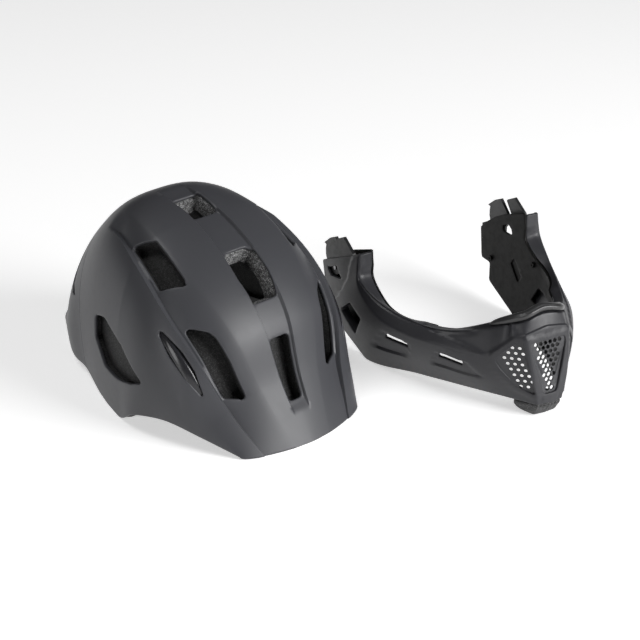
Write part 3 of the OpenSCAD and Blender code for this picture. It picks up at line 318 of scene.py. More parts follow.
helmetShape = {
    "crown": [[-169, 0], [-138, 53], [-116, 107], [-75, 149], [-18, 178], [44, 184], [95, 150], [128, 108],
              [146, 48]],
    "rim": [[72, -149, 3], [91, -117, 17], [105, -83, 25], [113, -45, 18], [107, -13, 0], [96, 31, 2],
            [85, 69, 10], [77, 104, 11], [59, 141, 27]],
    "power": [1.6, 2, 2.5, 2.9, 3.4, 2.9, 2.5, 2.2, 2],
    "channelEdge": [6, 7, 8, 8.6, 8, 8, 8, 8, 8],
    "ridge": [17.5, 21, 24.5, 28, 29, 29, 29, 29, 29],
    "groove": [50, 47, 46.3, 43.8, 41.2, 37, 37, 37, 37],
    "channelDepth": 3.0, "channelStart": (0.45, 0.25), "channelEnd": (4.95, 0.4),  # station and length
    "grooveDepth": 4.9, "grooveEnd": (5.15, 0.45), "frontShare": 0.3, "frontOver": 1.1,
    "slopeBlend": 0.12, "edgeStep": 0.5, "wall": 3, "linerGap": 0.6, "linerWall": 17,
    "tailStation": 6, "tailSeam": 0.02, "lastStation": 8,
}


# Point of the hoop at station u, f degrees from the crown.
def hoop(u, f):
    p, r = along(helmetShape["crown"], u), along(helmetShape["rim"], u)
    n = runs(helmetShape["power"], u)
    a = np.radians(np.minimum(90, np.abs(f)))
    s, c = np.abs(np.sin(a)), np.maximum(np.cos(a), 1e-9)
    q = (s ** n + c ** n) ** (1 / n)
    g = 1 - c / q
    y, z = lerp(p[..., 0], r[..., 1], g), lerp(p[..., 1], r[..., 2], g)
    return np.stack([np.sign(f) * s / q * r[..., 0], y, z], -1)


# Direction square to the hoop and to the line of stations.
def outward(u, f):
    return unit(np.cross(hoop(u, f + 1) - hoop(u, f - 1),
                         hoop(np.minimum(8, u + 0.02), f) - hoop(np.maximum(0, u - 0.02), f)))


# Channel along the crown and the groove beside each ridge, with short rounded steps.
def relief(u, f):
    s = helmetShape
    a, w, k = np.abs(f), s["edgeStep"], s["slopeBlend"]
    c, r, g = (runs(s[line], u) for line in ("channelEdge", "ridge", "groove"))
    (start, startOver), (end, endOver), (last, lastOver) = s["channelStart"], s["channelEnd"], s["grooveEnd"]
    slope = np.clip((a - r) / (g - r), 0, 1)
    slope = np.where(slope < k, slope ** 2 / (2 * k), slope - k / 2 * (1 - slope) / (1 - k))
    return (-s["channelDepth"] * smooth((c + w - a) / (2 * w)) * smooth((end - u) / endOver)
            * smooth((u - start) / startOver)
            - s["grooveDepth"] * slope * smooth((g + 2 * w - a) / (2 * w)) * smooth((last - u) / lastOver)
            * lerp(s["frontShare"], 1, smooth(u / s["frontOver"])))


# Point d outside the plain hoop, and never below the ground.
def skin(u, f, d):
    p = hoop(u, f) + outward(u, f) * np.asarray(d, float)[..., None]
    p[..., 2] = np.maximum(p[..., 2], 0)
    return p


# The shell d below its outside, which is the plain hoop with its relief.
def shellSurface(u, f, d):
    return skin(u, f, relief(u, f) - d)


# Stations by degrees. The columns follow the channel's edge, the ridge and the groove, closer together
# there.
def hoopGrid(u0, u1, rows, sideColumns):
    s = helmetShape
    u = np.linspace(u0, u1, rows)
    w = s["edgeStep"]
    c, r, g = (runs(s[line], u)[:, None] for line in ("channelEdge", "ridge", "groove"))
    knots = [0 * c, c - w, c + w, r - 1, r + 1, g, g + 2 * w, 90 + 0 * g]
    columns = [4, 4, 6, 3, 9, 4, sideColumns]
    half = [lerp(a, b, np.arange(k) / k) for a, b, k in zip(knots, knots[1:], columns)]
    half = np.hstack(half + knots[-1:])
    f = np.hstack([-half[:, :0:-1], half])
    return np.repeat(u[:, None], f.shape[1], 1), f


ventOutlines = {  # corners in stations and degrees
    "top": [[3.98, -8], [4.55, -9.4], [4.55, 9.4], [3.98, 8]],
    "mid": [[2.3, -8], [2.75, -9.4], [3.15, -9], [3.26, -6], [3.26, 6], [3.15, 9], [2.75, 9.4], [2.3, 8]],
    "low": [[0.66, -5.8], [1.7, -7], [1.7, 7], [0.66, 5.8]],
    "side": [[3.06, 31.4], [3.16, 29.8], [3.95, 29.8], [4.14, 34], [4.36, 40], [3.36, 42]],
    "front": [[1.19, 46.6], [0.96, 31.2], [1.62, 31.4], [2.14, 32.4], [2.28, 33.8], [2.68, 43.6]],
    "temple": [[2.84, 74.6], [2.9, 72.6], [3.84, 65.4], [4.56, 63], [5.02, 65.2], [5.04, 72], [4.6, 78],
               [3.2, 76.8]],
    "trim": [[1.5, 54.9], [1.5, 57.8], [2.05, 58.2], [2.5, 55.8], [2.9, 52.4], [2.94, 50.4], [2.84, 49.5],
             [2.35, 49], [1.94, 50.4]],
    "tail": [[6.27, 38], [6.47, 45], [6.55, 54], [6.33, 61.5], [6.66, 58], [6.82, 50], [6.66, 41]],
    "rear": [[6.9, 9], [6.9, 25], [7.45, 22], [7.45, 8]],
    "nape": [[7.3, 40], [7.2, 62], [7.5, 62], [7.65, 44]],
    "slot": [[7.1, 30], [7.05, 36], [7.5, 35], [7.55, 29]],
}


# Cut along a vent's outline, measured on the skin round the vent's middle.
def ventCut(name, side, grow, radius, pocket=0):
    o = np.array(ventOutlines[name], float)
    mid = (o.min(0) + o.max(0)) / 2
    o = mid + (o - mid) * grow
    o[:, 1] *= side
    mid = (o.min(0) + o.max(0)) / 2
    here = [np.linalg.norm(hoop(mid[0] + a, mid[1] + b) - hoop(mid[0] - a, mid[1] - b)) / (2 * (a + b))
            for a, b in ((0.1, 0), (0, 1))]
    poly = rounded(o * here, radius)
    return {"sd": lambda a, b, p: signedDistance(poly, a * here[0], b * here[1]), "pocket": pocket}


# One cut for each vent on the middle line, and two for each of the others.
def ventCuts(plan):
    return [ventCut(name, side, *sizes) for name, sizes in plan.items()
            for side in ((1,) if name in ("top", "mid", "low") else (-1, 1))]


shellSizes = {  # cuts: growth and corner radius of each vent
    "mainCuts": {"top": (1, 6), "mid": (1, 5), "low": (1, 5), "side": (1, 6), "front": (1, 6),
                 "temple": (1, 7), "trim": (1, 4)},
    "tailCuts": {"tail": (1, 4), "rear": (1, 5), "nape": (1, 4), "slot": (1, 2)},
    "mainGrid": (190, 62), "tailGrid": (70, 50),
    "edge": [(0.35, 0.12), (0.8, 0.55), (1.05, 1.2), (1.05, 2.4), (0.7, 3.0)],
}


def buildShells():
    s, h = shellSizes, helmetShape
    seam = h["tailSeam"] / 2
    for name, solid, part, first, last in (
            ("outerShell", "outer_shell", "main", 0, h["tailStation"] - seam),
            ("tailShell", "tail_shell", "tail", h["tailStation"] + seam, h["lastStation"])):
        gridA, gridB = hoopGrid(first, last, *s[part + "Grid"])
        cuts = ventCuts(s[part + "Cuts"])
        o = panel(name, gridA, gridB, shellSurface, cuts, lambda a, b: 0 * a + h["wall"], s["edge"])
        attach(o, "root")
        # the inside faces wear the darker copy of the satin, painted shade under the rim
        standFor(o, solid, "shell", "shell", "shell", "shell", "shellInsidePaintedShade")
        print("shell built", len(o.data.polygons))


linerSizes = {
    "first": 1.25, "last": 7.85, "grid": (160, 44), "peakFirst": 0.5, "peakTo": 50, "peakOver": 12,
    "thinFrom": 0.95, "thinOver": 0.8, "peakThinFrom": 0.1, "least": 3,
    "cuts": {"top": (1, 4), "mid": (1, 4), "low": (1.06, 4, 13), "rear": (0.86, 5), "side": (1.06, 5, 13),
             "front": (1.06, 5, 13), "temple": (1.06, 5, 5), "tail": (0.98, 4, 13),
             "nape": (0.98, 4, 13)},  # growth, corner radius and pocket depth of each vent
    "collared": 2,  # the first two of them open in a funnel
    "edge": [(0.4, 0.15), (0.8, 0.6), (1.0, 1.4), (1.6, 5.0)],
    "funnel": [(0.6, 0.2), (1.4, 1.2), (3.0, 4.5), (4.4, 8), (4.8, 13)],
}


# 1 under the peak, falling to 0 beside it.
def underPeak(f):
    t = linerSizes
    return smooth((t["peakTo"] + t["peakOver"] - np.abs(f)) / t["peakOver"])


# 17 mm over most of the head, thinning towards the front edge, which reaches further under the peak
def linerDepth(u, f):
    t = linerSizes
    start = lerp(t["thinFrom"], t["peakThinFrom"], underPeak(f))
    return np.maximum(t["least"], helmetShape["linerWall"] * np.clip((u - start) / t["thinOver"], 0, 1))


# The liner's outside follows the shell's relief, and its inside the plain hoop.
def linerSurface(u, f, d):
    s = helmetShape
    d = np.asarray(d, float) + 0 * u
    t = np.clip(d / np.maximum(linerDepth(u, f), 1), 0, 1)
    return skin(u, f, relief(u, f) * (1 - t) - s["wall"] - s["linerGap"] - d)


def buildLiner():
    t = linerSizes
    cuts = ventCuts(t["cuts"])
    for c in cuts[:t["collared"]]:
        c["collar"] = True
    gridA, gridB = hoopGrid(t["first"], t["last"], *t["grid"])
    share = (gridA - t["first"]) / (t["last"] - t["first"])
    first = lerp(t["first"], t["peakFirst"], underPeak(gridB))
    gridA = first + (t["last"] - first) * share
    o = panel("foamLiner", gridA, gridB, linerSurface, cuts, linerDepth, t["edge"], t["funnel"])
    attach(o, "root")
    standFor(o, "foam_liner", "foam", "foam", "foam", "foam", "foam")
    print("liner built", len(o.data.polygons))


# Chin bar, in its own frame: x across, -y forward, z up, then turned beside the helmet

barShape = {
    "top": [[0, -216, 102], [23, -214.5, 97], [46, -184, 83], [70, -152, 74], [88, -116, 74], [100, -84, 81],
            [106, -60, 94], [105, -57, 106], [104, -56, 118]],
    "crease": [[0, -223, 89], [24, -221.5, 84], [54, -191, 60], [77, -158, 60], [93, -122, 60],
               [103, -88, 64], [108, -62, 78], [108, -50, 96], [106, -44, 112]],
    "low": [[0, -234, 16], [14, -232.5, 16], [42, -183, 14.5], [58, -149, 12], [72, -115, 8.5], [93, -50, 0],
            [98, 0, 22], [101, 18, 46], [102.5, 23, 80]],
    "facing": [-90, -72, -43, -33, -24, -16, -6, 0, 0],
    "bow": [0.8, 2.6, 4.6, 3.4, 2.6, 2.6, 2.4, 2.2, 2],
    "creaseRise": [0, 0, 0, 0.1, 0.1, 0.12, 0.35, 0.6, 0.8],
    "wall": 3, "leastGap": 0.6, "depth": 12, "lowFlange": 4.5, "flangeOver": 0.2,
    "armFrom": 3.6, "armOver": 1.2, "armInside": 90.5, "armSlope": 26,
    "drop": 4, "dropFrom": 1.9, "dropTo": 7, "dropOver": 0.8,
    "soft": 1.5, "softAcross": ((-1, 1), (-0.5, 1.5), (0, 2), (0.5, 1.5), (1, 1)),  # reach and weight
    "softAlong": ((-0.035, 1), (0, 1.4), (0.035, 1)), "turn": -12.7, "place": [245, -55, 0],
}
cosTurn, sinTurn = (f(math.radians(barShape["turn"])) for f in (math.cos, math.sin))
armMid = (np.array(barShape["top"][-1]) + np.array(barShape["low"][-1])) / 2
armAxes = axes(-barShape["armSlope"])


# From the chin bar's frame to the object's.
def placeBar(p):
    x, y, z = p[..., 0], p[..., 1], p[..., 2]
    return np.stack([cosTurn * x - sinTurn * y, sinTurn * x + cosTurn * y, z], -1) + barShape["place"]


# From the object's frame back to the chin bar's.
def barFrame(p):
    x, y = p[..., 0] - barShape["place"][0], p[..., 1] - barShape["place"][1]
    return np.stack([cosTurn * x + sinTurn * y, cosTurn * y - sinTurn * x, p[..., 2]], -1)


# Smooth line through the stations of the chin bar, straight across the middle and down the arm's rear edge.
def barLine(name, q):
    pts = np.array(barShape[name], float)
    q = np.asarray(q, float)
    if name == "top":  # one smooth curve from arm to arm
        return along(np.vstack([pts[1] * [-1, 1, 1], pts]), q + 1)
    out = np.where((q <= 1)[..., None], lerp(pts[0], pts[1], np.minimum(q, 1)[..., None]),
                   along(pts[1:], np.maximum(q - 1, 0)))
    return np.where((q >= 5)[..., None], runs(pts, q), out) if name == "low" else out


# The bar's low edge, crease and top edge at q.
def threeLines(q):
    return (barLine(k, q) for k in ("low", "crease", "top"))


# Level direction that the bar's outside faces at q.
def facingDir(q):
    a = np.radians(runs(barShape["facing"], q))
    return np.stack([np.cos(a), np.sin(a), 0 * a], -1)


# q along the bar, v from 0 at the low edge through 1 at the crease to 2 at the top.
def barSkin(q, v):
    low, crease, top = threeLines(q)
    crease = lerp(crease, top, runs(barShape["creaseRise"], q)[..., None])
    v = np.asarray(v, float)[..., None]
    bow = facingDir(q) * (runs(barShape["bow"], q) * np.sin(np.pi * np.clip(v[..., 0], 0, 1)))[..., None]
    return np.where(v <= 1, lerp(low, crease, v) + bow, lerp(crease, top, v - 1))


# How far in the edges reach: short along the low edge away from the middle, and to one plane in the arms.
def barDepth(q, v):
    s = barShape
    flat = (barSkin(q, v)[..., 0] - s["armInside"]) / np.cos(np.radians(runs(s["facing"], q)))
    full = lerp(s["lowFlange"], s["depth"], np.clip(np.maximum(v, (1.0 - q) / s["flangeOver"]), 0, 1))
    deep = lerp(full, flat, np.clip((q - s["armFrom"]) / s["armOver"], 0, 1))
    return np.maximum(s["wall"] + s["leastGap"], deep)


# How far the top corner is set down the upper face, as a share of that face.
def topDrop(q):
    s = barShape
    start, end = (np.clip(x / s["dropOver"], 0, 1) for x in (q - s["dropFrom"], s["dropTo"] - q))
    return s["drop"] * start * end / np.linalg.norm(barLine("top", q) - barLine("crease", q), axis=-1)


# Point of the section at q: w from -1 to 0 along the low flange, to 2 up the outside, and to 3 in along the
# top.
def barSection(q, w):
    q, w = np.broadcast_arrays(np.asarray(q, float), np.asarray(w, float))
    a = np.abs(q)
    v = np.clip(w, 0, 2) - np.clip(w - 2, 0, 1) * topDrop(a)
    deep = np.clip(-w, 0, 1) * barDepth(a, 0 * a) + np.clip(w - 2, 0, 1) * barDepth(a, 0 * a + 2)
    p = barSkin(a, v) - facingDir(a) * deep[..., None]
    p[..., 0] *= np.where(q < 0, -1.0, 1.0)
    return p


# Lengths of the section's four stretches, from the low flange to the top one.
def barLengths(q):
    a = np.abs(q)
    low, crease, top = threeLines(a)
    return np.stack([barDepth(a, 0 * a), np.linalg.norm(crease - low, axis=-1),
                     np.linalg.norm(top - crease, axis=-1), barDepth(a, 0 * a + 2)])


# w moved by reach millimetres along the section.
def shifted(q, w, reach):
    sizes = barLengths(q)
    knots = np.concatenate([0 * sizes[:1], np.cumsum(sizes, 0)])

    def stretch(k):
        return [np.take_along_axis(rows, k[None], 0)[0] for rows in (knots, sizes)]
    k = np.clip(np.floor(w).astype(int) + 1, 0, 3)
    here, size = stretch(k)
    s = np.clip(here + (w + 1 - k) * size + reach, 0, knots[4])
    k = np.clip((s[None] >= knots).sum(0) - 1, 0, 3)
    here, size = stretch(k)
    return k - 1 + (s - here) / size


# The section with its corners rounded: the mean of points a little way along it and along the bar.
def softSection(q, w):
    s = barShape
    total, weight = 0, 0
    for dw, kw in s["softAcross"]:
        ws = shifted(q, w, dw * s["soft"])
        for dq, kq in s["softAlong"]:
            total = total + barSection(np.clip(q + dq, -8, 8), ws) * kw * kq
            weight += kw * kq
    return total / weight


# Direction square to the rounded section's slopes along the bar and round it.
def barNormal(q, w):
    e = 0.02  # in stations and in levels
    dq = softSection(np.minimum(q + e, 8), w) - softSection(np.maximum(q - e, -8), w)
    dw = softSection(q, np.minimum(w + e, 3)) - softSection(q, np.maximum(w - e, -1))
    return unit(np.cross(dq, dw))


# Point d below the rounded section with its moulded lines, set in its place beside the helmet.
def barSurface(q, w, d):
    q, w = np.asarray(q, float), np.asarray(w, float)
    p = softSection(q, w)
    d = np.asarray(d, float) + barRelief(q, w, p)
    p = placeBar(p - barNormal(q, w) * d[..., None])
    p[..., 2] = np.maximum(p[..., 2], 0)
    return p


barOpenings = {
    "slots": [[[2.42, 0.62], [2.4, 0.75], [3.06, 0.78], [3.12, 0.65]],
              [[4.0, 0.62], [4.03, 0.745], [4.6, 0.795], [4.66, 0.665]],
              [[5.4, 0.24], [5.42, 0.66], [6, 0.66], [6.12, 0.34]]],
    "window": [[10, -6.5], [35, -6.5], [30, -16.5], [3, -22]],
    "notch": [[2, -30], [2, 43.4], [80, 43.4], [80, -30]],
    "centre": [[-19, 26], [19, 26], [20, 20], [8, -26], [5, -28], [-5, -28], [-8, -26], [-20, 20]],
    "side": [[-6, 24], [-1, 25], [19, 6], [20, 2], [15, -6], [0, -22], [-18, -29], [-21, -28]],
    "slotRadius": 1.6, "armRadius": 2.2,
    "frames": {"centre": ([0, -228.5, 53], axes(81)), "side": ([27, -214, 55], axes(87.2, 42.4)),
               "window": (armMid, armAxes), "notch": ([0, 0, 0], axes(0))},
    "cuts": {"centre": ((0, 1), (-9, 9), 4), "side": ((0, 1), (-9, 9), 4), "window": ((1, 2), (-8, 14), 2.5),
             "notch": ((1, 2), (60, 140), 3)},  # outline's directions, reach along the third, corner radius
}


# Cut through the chin bar along one direction of a frame: pick gives the two directions of its outline.
def planeCut(outline, place, side, pick, reach, radius):
    poly = rounded(outline, radius)
    origin, turn = place
    through = 3 - sum(pick)

    def sd(q, w, p):
        c = (barFrame(p) * [side, 1, 1] - origin) @ turn.T
        d = signedDistance(poly, c[..., pick[0]], c[..., pick[1]])
        return np.where((c[..., through] > reach[0]) & (c[..., through] < reach[1]), d, farAway)
    return {"sd": sd}


# One of the cuts that are listed by name.
def namedCut(name, side):
    o = barOpenings
    return planeCut(o[name], o["frames"][name], side, *o["cuts"][name])


# Cut through the chin bar's outside, its outline in stations and levels.
def slotCut(outline, side, radius, level=lambda q, w: w):
    o = np.array(outline, float)
    mid = o.mean(0)
    here = [np.linalg.norm(barSkin(mid[0] + a, mid[1] + b) - barSkin(mid[0] - a, mid[1] - b)) / (2 * (a + b))
            for a, b in ((0.1, 0), (0, 0.1))]
    poly = rounded(o * here, radius)
    return {"sd": lambda q, w, p: signedDistance(poly, q * side * here[0], level(q * side, w) * here[1])}


barLines = {
    "raise": 0.9, "band": 5.2, "bandReach": 14, "step": 0.6,
    "perStep": [36, 48],  # millimetres to a station and to a level
    "upperFrom": 1.35, "upperOver": 0.5, "middleTo": 1.4, "groove": 1.6, "grooveAt": 1.9, "grooveWide": 0.07,
    "lip": 0.8, "lipFrom": 2.0, "lipOver": 0.4, "lipLow": (2.02, 0.15), "lipHigh": (2.6, 0.2),
    "fields": [
        ([[1.8, 0.95], [2.22, 1.26], [3.02, 1.66], [3.5, 1.9], [3.5, 2.7], [1.35, 2.7], [1.35, 1.3]], 1.3),
        ([[3.35, 0.44], [3.12, 0.79], [2.3, 0.775], [1.95, 0.43]], 1.7),
        ([[4.88, 0.4], [4.69, 0.8], [3.96, 0.75], [4.07, 0.42]], 2.0),
        ([[8.3, 0.88], [6.92, 0.75], [6.65, 0.55], [6.5, 0.2], [6.9, -0.2], [8.3, -0.2]], 1.4),
        ([[-1, 1.22], [1.14, 1.22], [1.27, 1.84], [1.3, 2.7], [-1, 2.7]], 1.2),
    ],
}


# Distance from a grille's outline, measured in its plane.
def besideGrille(name, p):
    origin, turn = barOpenings["frames"][name]
    c = (p - origin) @ turn.T
    level = np.where(np.abs(c[..., 2]) < barLines["bandReach"], c[..., 1], 90)
    return signedDistance(np.array(barOpenings[name], float), c[..., 0], level)


# Depth of the moulded lines: a raised band round each grille, and sunk fields with a soft step at their edge.
def barRelief(q, w, p):
    s, a = barLines, np.abs(q)
    near = np.minimum(besideGrille("centre", p), besideGrille("side", flipped(p, q)))
    depth = -s["raise"] * smooth((s["band"] - near) / s["step"])
    share = np.where(w > 1, smooth((a - s["upperFrom"]) / s["upperOver"]) + (a < s["middleTo"]), 1)
    for field, sink in s["fields"]:
        d = signedDistance(np.array(field, float) * s["perStep"], a * s["perStep"][0], w * s["perStep"][1])
        depth = depth + sink * smooth(0.5 - d / (2 * s["step"])) * share
    lip = smooth((a - s["lipFrom"]) / s["lipOver"])
    (low, lowOver), (high, highOver) = s["lipLow"], s["lipHigh"]
    return (depth + s["groove"] * lip * np.exp(-((w - s["grooveAt"]) / s["grooveWide"]) ** 2)
            - s["lip"] * lip * smooth((w - low) / lowOver) * smooth((high - w) / highOver))


barEdge = [(0.3, 0.1), (0.65, 0.5), (0.8, 1.1), (0.8, 2.3), (0.5, 2.9)]
barCollar = [(0.3, 0.1), (0.7, 0.5), (0.9, 1.1), (1.1, 4), (1.2, 7.6), (0.6, 8), (-0.6, 7.6)]


def buildBarShell():
    o = barOpenings
    ends = np.unique(np.round(np.concatenate([np.linspace(0, 1.3, 22), np.linspace(1.3, 8, 96)]), 5))
    q = np.concatenate([-ends[:0:-1], ends])
    w = np.concatenate([
        np.linspace(-1, -0.12, 4), [-0.06, 0, 0.02, 0.04], np.linspace(0.08, 0.94, 26), [0.97, 1, 1.06],
        np.linspace(1.14, 1.86, 8), [1.94, 2, 2.06], np.linspace(2.15, 3, 4)])
    gridA, gridB = np.meshgrid(q, w, indexing="ij")
    cuts = [namedCut("centre", 1)]
    for side in (-1, 1):
        cuts.append(namedCut("side", side))
        cuts += [slotCut(c, side, o["slotRadius"]) for c in o["slots"][:2]]
        cuts.append({**slotCut(o["slots"][2], side, o["armRadius"]), "collar": True})
        cuts += [namedCut(name, side) for name in ("window", "notch")]
    bar = panel("barShell", gridA, gridB, barSurface, cuts, lambda a, b: 0 * a + barShape["wall"],
                barEdge, barCollar)
    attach(bar, "root")
    # the inside faces wear the darker copy of the satin, painted shade under the rim
    standFor(bar, "bar_shell", "shell", "barShell", "barShell", "barShell", "shellInsidePaintedShade")
    print("chin bar built", len(bar.data.polygons))


# Materials: shared effects are groups that put out colours, masks and bump heights

def group(name, numbers, outputs, build):
    g = bpy.data.node_groups.new(name, "ShaderNodeTree")
    g.interface.new_socket("Vector", in_out="INPUT", socket_type="NodeSocketVector")
    for label, value in numbers.items():
        g.interface.new_socket(label, in_out="INPUT", socket_type="NodeSocketFloat").default_value = value
    for label in outputs:
        g.interface.new_socket(label, in_out="OUTPUT", socket_type="NodeSocketFloat")
    build(g, g.nodes.new("NodeGroupInput").outputs, g.nodes.new("NodeGroupOutput").inputs)
    return g


def node(t, kind, **values):
    n = t.nodes.new(kind)
    for k, v in values.items():
        if k in n.inputs:
            n.inputs[k].default_value = v
        else:
            setattr(n, k, v)
    return n


def noise(t, vector, scale, detail=2.0, rough=0.5):
    n = node(t, "ShaderNodeTexNoise", Scale=scale, Detail=detail, Roughness=rough)
    t.links.new(vector, n.inputs["Vector"])
    return n.outputs["Fac"]


def ramp(t, fac, low, high, a=0.0, b=1.0):
    n = node(t, "ShaderNodeMapRange", interpolation_type="SMOOTHSTEP")
    for k, v in (("From Min", low), ("From Max", high), ("To Min", a), ("To Max", b)):
        n.inputs[k].default_value = v
    t.links.new(fac, n.inputs["Value"])
    return n.outputs["Result"]


def mixColour(t, fac, a, b):
    n = node(t, "ShaderNodeMix", data_type="RGBA")
    t.links.new(fac, n.inputs["Factor"])
    for v, k in ((a, "A"), (b, "B")):
        s = [i for i in n.inputs if i.name == k and i.type == "RGBA"][0]
        if isinstance(v, (tuple, list)):
            s.default_value = (*v[:3], 1)
        else:
            t.links.new(v, s)
    return [o for o in n.outputs if o.type == "RGBA"][0]


def maths(t, op, a, b):
    n = node(t, "ShaderNodeMath", operation=op)
    for i, v in enumerate((a, b)):
        if isinstance(v, (int, float)):
            n.inputs[i].default_value = v
        else:
            t.links.new(v, n.inputs[i])
    return n.outputs[0]


# The colour times each factor.
def shades(colour, *factors):
    return [[c * k for c in colour] for k in factors]


grainLook = {"fine": 1500, "slow": 9, "scuff": 160, "dark": 0.93, "light": 1.06, "bump": 0.00012}
# The foam's channel entries and its darker second shade set painted shade on the foam away from the upper
# middle channel.
beadLook = {"scale": 760, "joint": 0.22, "jointColour": (0.01, 0.01, 0.01), "bump": 0.0005,
            "channelX": (0.024, 0.034), "channelZ": (0.09, 0.11), "paintedShadeDark": 0.15}
weaveLook = {"slub": 240, "bump": 0.0003, "gap": 0.5, "thread": 1.5, "slubDark": 0.8}


# Fine grain of a moulded surface: a bump height, a slow change of shade and a little spread of roughness.
def mouldedGroup():
    def build(g, i, o):
        s = grainLook
        fine, slow = noise(g, i["Vector"], s["fine"], 3, 0.6), noise(g, i["Vector"], s["slow"], 2)
        g.links.new(fine, o["Height"])
        g.links.new(ramp(g, slow, 0.3, 0.7), o["Shade"])
        g.links.new(ramp(g, noise(g, i["Vector"], s["scuff"], 4, 0.7), 0.35, 0.75), o["Scuff"])
    return group("mouldedGrain", {}, ("Height", "Shade", "Scuff"), build)


# Beads of expanded foam: round cells with dark joints, each with its own shade.
def beadGroup():
    def build(g, i, o):
        cells, joints = (node(g, "ShaderNodeTexVoronoi", Scale=beadLook["scale"], feature=kind)
                         for kind in ("F1", "DISTANCE_TO_EDGE"))
        for v in (cells, joints):
            g.links.new(i["Vector"], v.inputs["Vector"])
        g.links.new(ramp(g, joints.outputs["Distance"], 0.0, beadLook["joint"]), o["Height"])
        s = node(g, "ShaderNodeSeparateColor")
        g.links.new(cells.outputs["Color"], s.inputs[0])
        g.links.new(s.outputs[0], o["Shade"])
    return group("foamBeads", {}, ("Height", "Shade"), build)


# Plain weave: two sets of ridges at right angles, one over the other in turn.
def weaveGroup():
    def build(g, i, o):
        split = node(g, "ShaderNodeSeparateXYZ")
        g.links.new(i["Vector"], split.inputs[0])
        waves = [maths(g, "SINE", maths(g, "MULTIPLY", split.outputs[k], i["Threads"]), 0.0) for k in (0, 1)]
        g.links.new(ramp(g, maths(g, "MULTIPLY", *waves), -0.8, 0.8), o["Height"])
        g.links.new(ramp(g, noise(g, i["Vector"], weaveLook["slub"], 3), 0.3, 0.7), o["Shade"])
    return group("plainWeave", {"Threads": 4000.0}, ("Height", "Shade"), build)


groups = {"moulded": mouldedGroup(), "beads": beadGroup(), "weave": weaveGroup()}


# Principled material: constants on its own sockets, and build adds what changes over the surface.
def material(name, rough, build, **plain):
    m = bpy.data.materials.new(name)
    m.use_nodes = True
    t = m.node_tree
    p = t.nodes["Principled BSDF"]
    p.inputs["Roughness"].default_value = rough
    for k, v in plain.items():
        p.inputs[k.replace("_", " ")].default_value = v
    build(t, p, t.nodes.new("ShaderNodeTexCoord").outputs["Object"])
    return m


def useGroup(t, name, vector, **values):
    n = t.nodes.new("ShaderNodeGroup")
    n.node_tree = groups[name]
    for k, v in values.items():
        n.inputs[k].default_value = v
    t.links.new(vector, n.inputs["Vector"])
    return n.outputs


def bump(t, p, height, strength, distance):
    b = node(t, "ShaderNodeBump", Strength=strength, Distance=distance)
    t.links.new(height, b.inputs["Height"])
    t.links.new(b.outputs["Normal"], p.inputs["Normal"])


def moulded(name, colour, rough, grain=0.12, scuff=0.05, **plain):
    def build(t, p, vector):
        g = useGroup(t, "moulded", vector)
        dark, light = shades(colour, grainLook["dark"], grainLook["light"])
        t.links.new(mixColour(t, g["Shade"], dark, light), p.inputs["Base Color"])
        t.links.new(ramp(t, g["Scuff"], 0, 1, rough - scuff, rough + scuff), p.inputs["Roughness"])
        bump(t, p, g["Height"], grain, grainLook["bump"])
    return material(name, rough, build, **plain)


# Foam of beads. The first pair of colours is the lit foam of the upper middle channel; the second pair, when
# given, is a darker copy of it, painted shade used everywhere else.
def beads(name, dark, light, rough, paintedShade=None):
    def build(t, p, vector):
        s, g = beadLook, useGroup(t, "beads", vector)
        c = mixColour(t, g["Shade"], dark, light)
        if paintedShade:  # painted shade: darker away from the upper part of the middle channel and low down, standing in for the shade in the other vents
            split = node(t, "ShaderNodeSeparateXYZ")
            t.links.new(vector, split.inputs[0])
            off = maths(t, "ABSOLUTE", split.outputs[0], 0.0)
            below = ramp(t, split.outputs[2], *s["channelZ"], 1.0, 0.0)
            away = maths(t, "MAXIMUM", ramp(t, off, *s["channelX"]), below)
            c = mixColour(t, away, c, mixColour(t, g["Shade"], *shades(dark, s["paintedShadeDark"]), paintedShade))
        t.links.new(mixColour(t, g["Height"], s["jointColour"], c), p.inputs["Base Color"])
        bump(t, p, g["Height"], 0.5, s["bump"])
    return material(name, rough, build)


def woven(name, colour, rough, threads, **plain):
    def build(t, p, vector):
        s = weaveLook
        uv = node(t, "ShaderNodeUVMap", uv_map="weave")
        g = useGroup(t, "weave", uv.outputs["UV"], Threads=threads)
        gap, thread, slub = shades(colour, s["gap"], s["thread"], s["slubDark"])
        lit = mixColour(t, g["Height"], gap, thread)
        t.links.new(mixColour(t, g["Shade"], slub, lit), p.inputs["Base Color"])
        bump(t, p, g["Height"], 0.6, s["bump"])
    return material(name, rough, build, **plain)


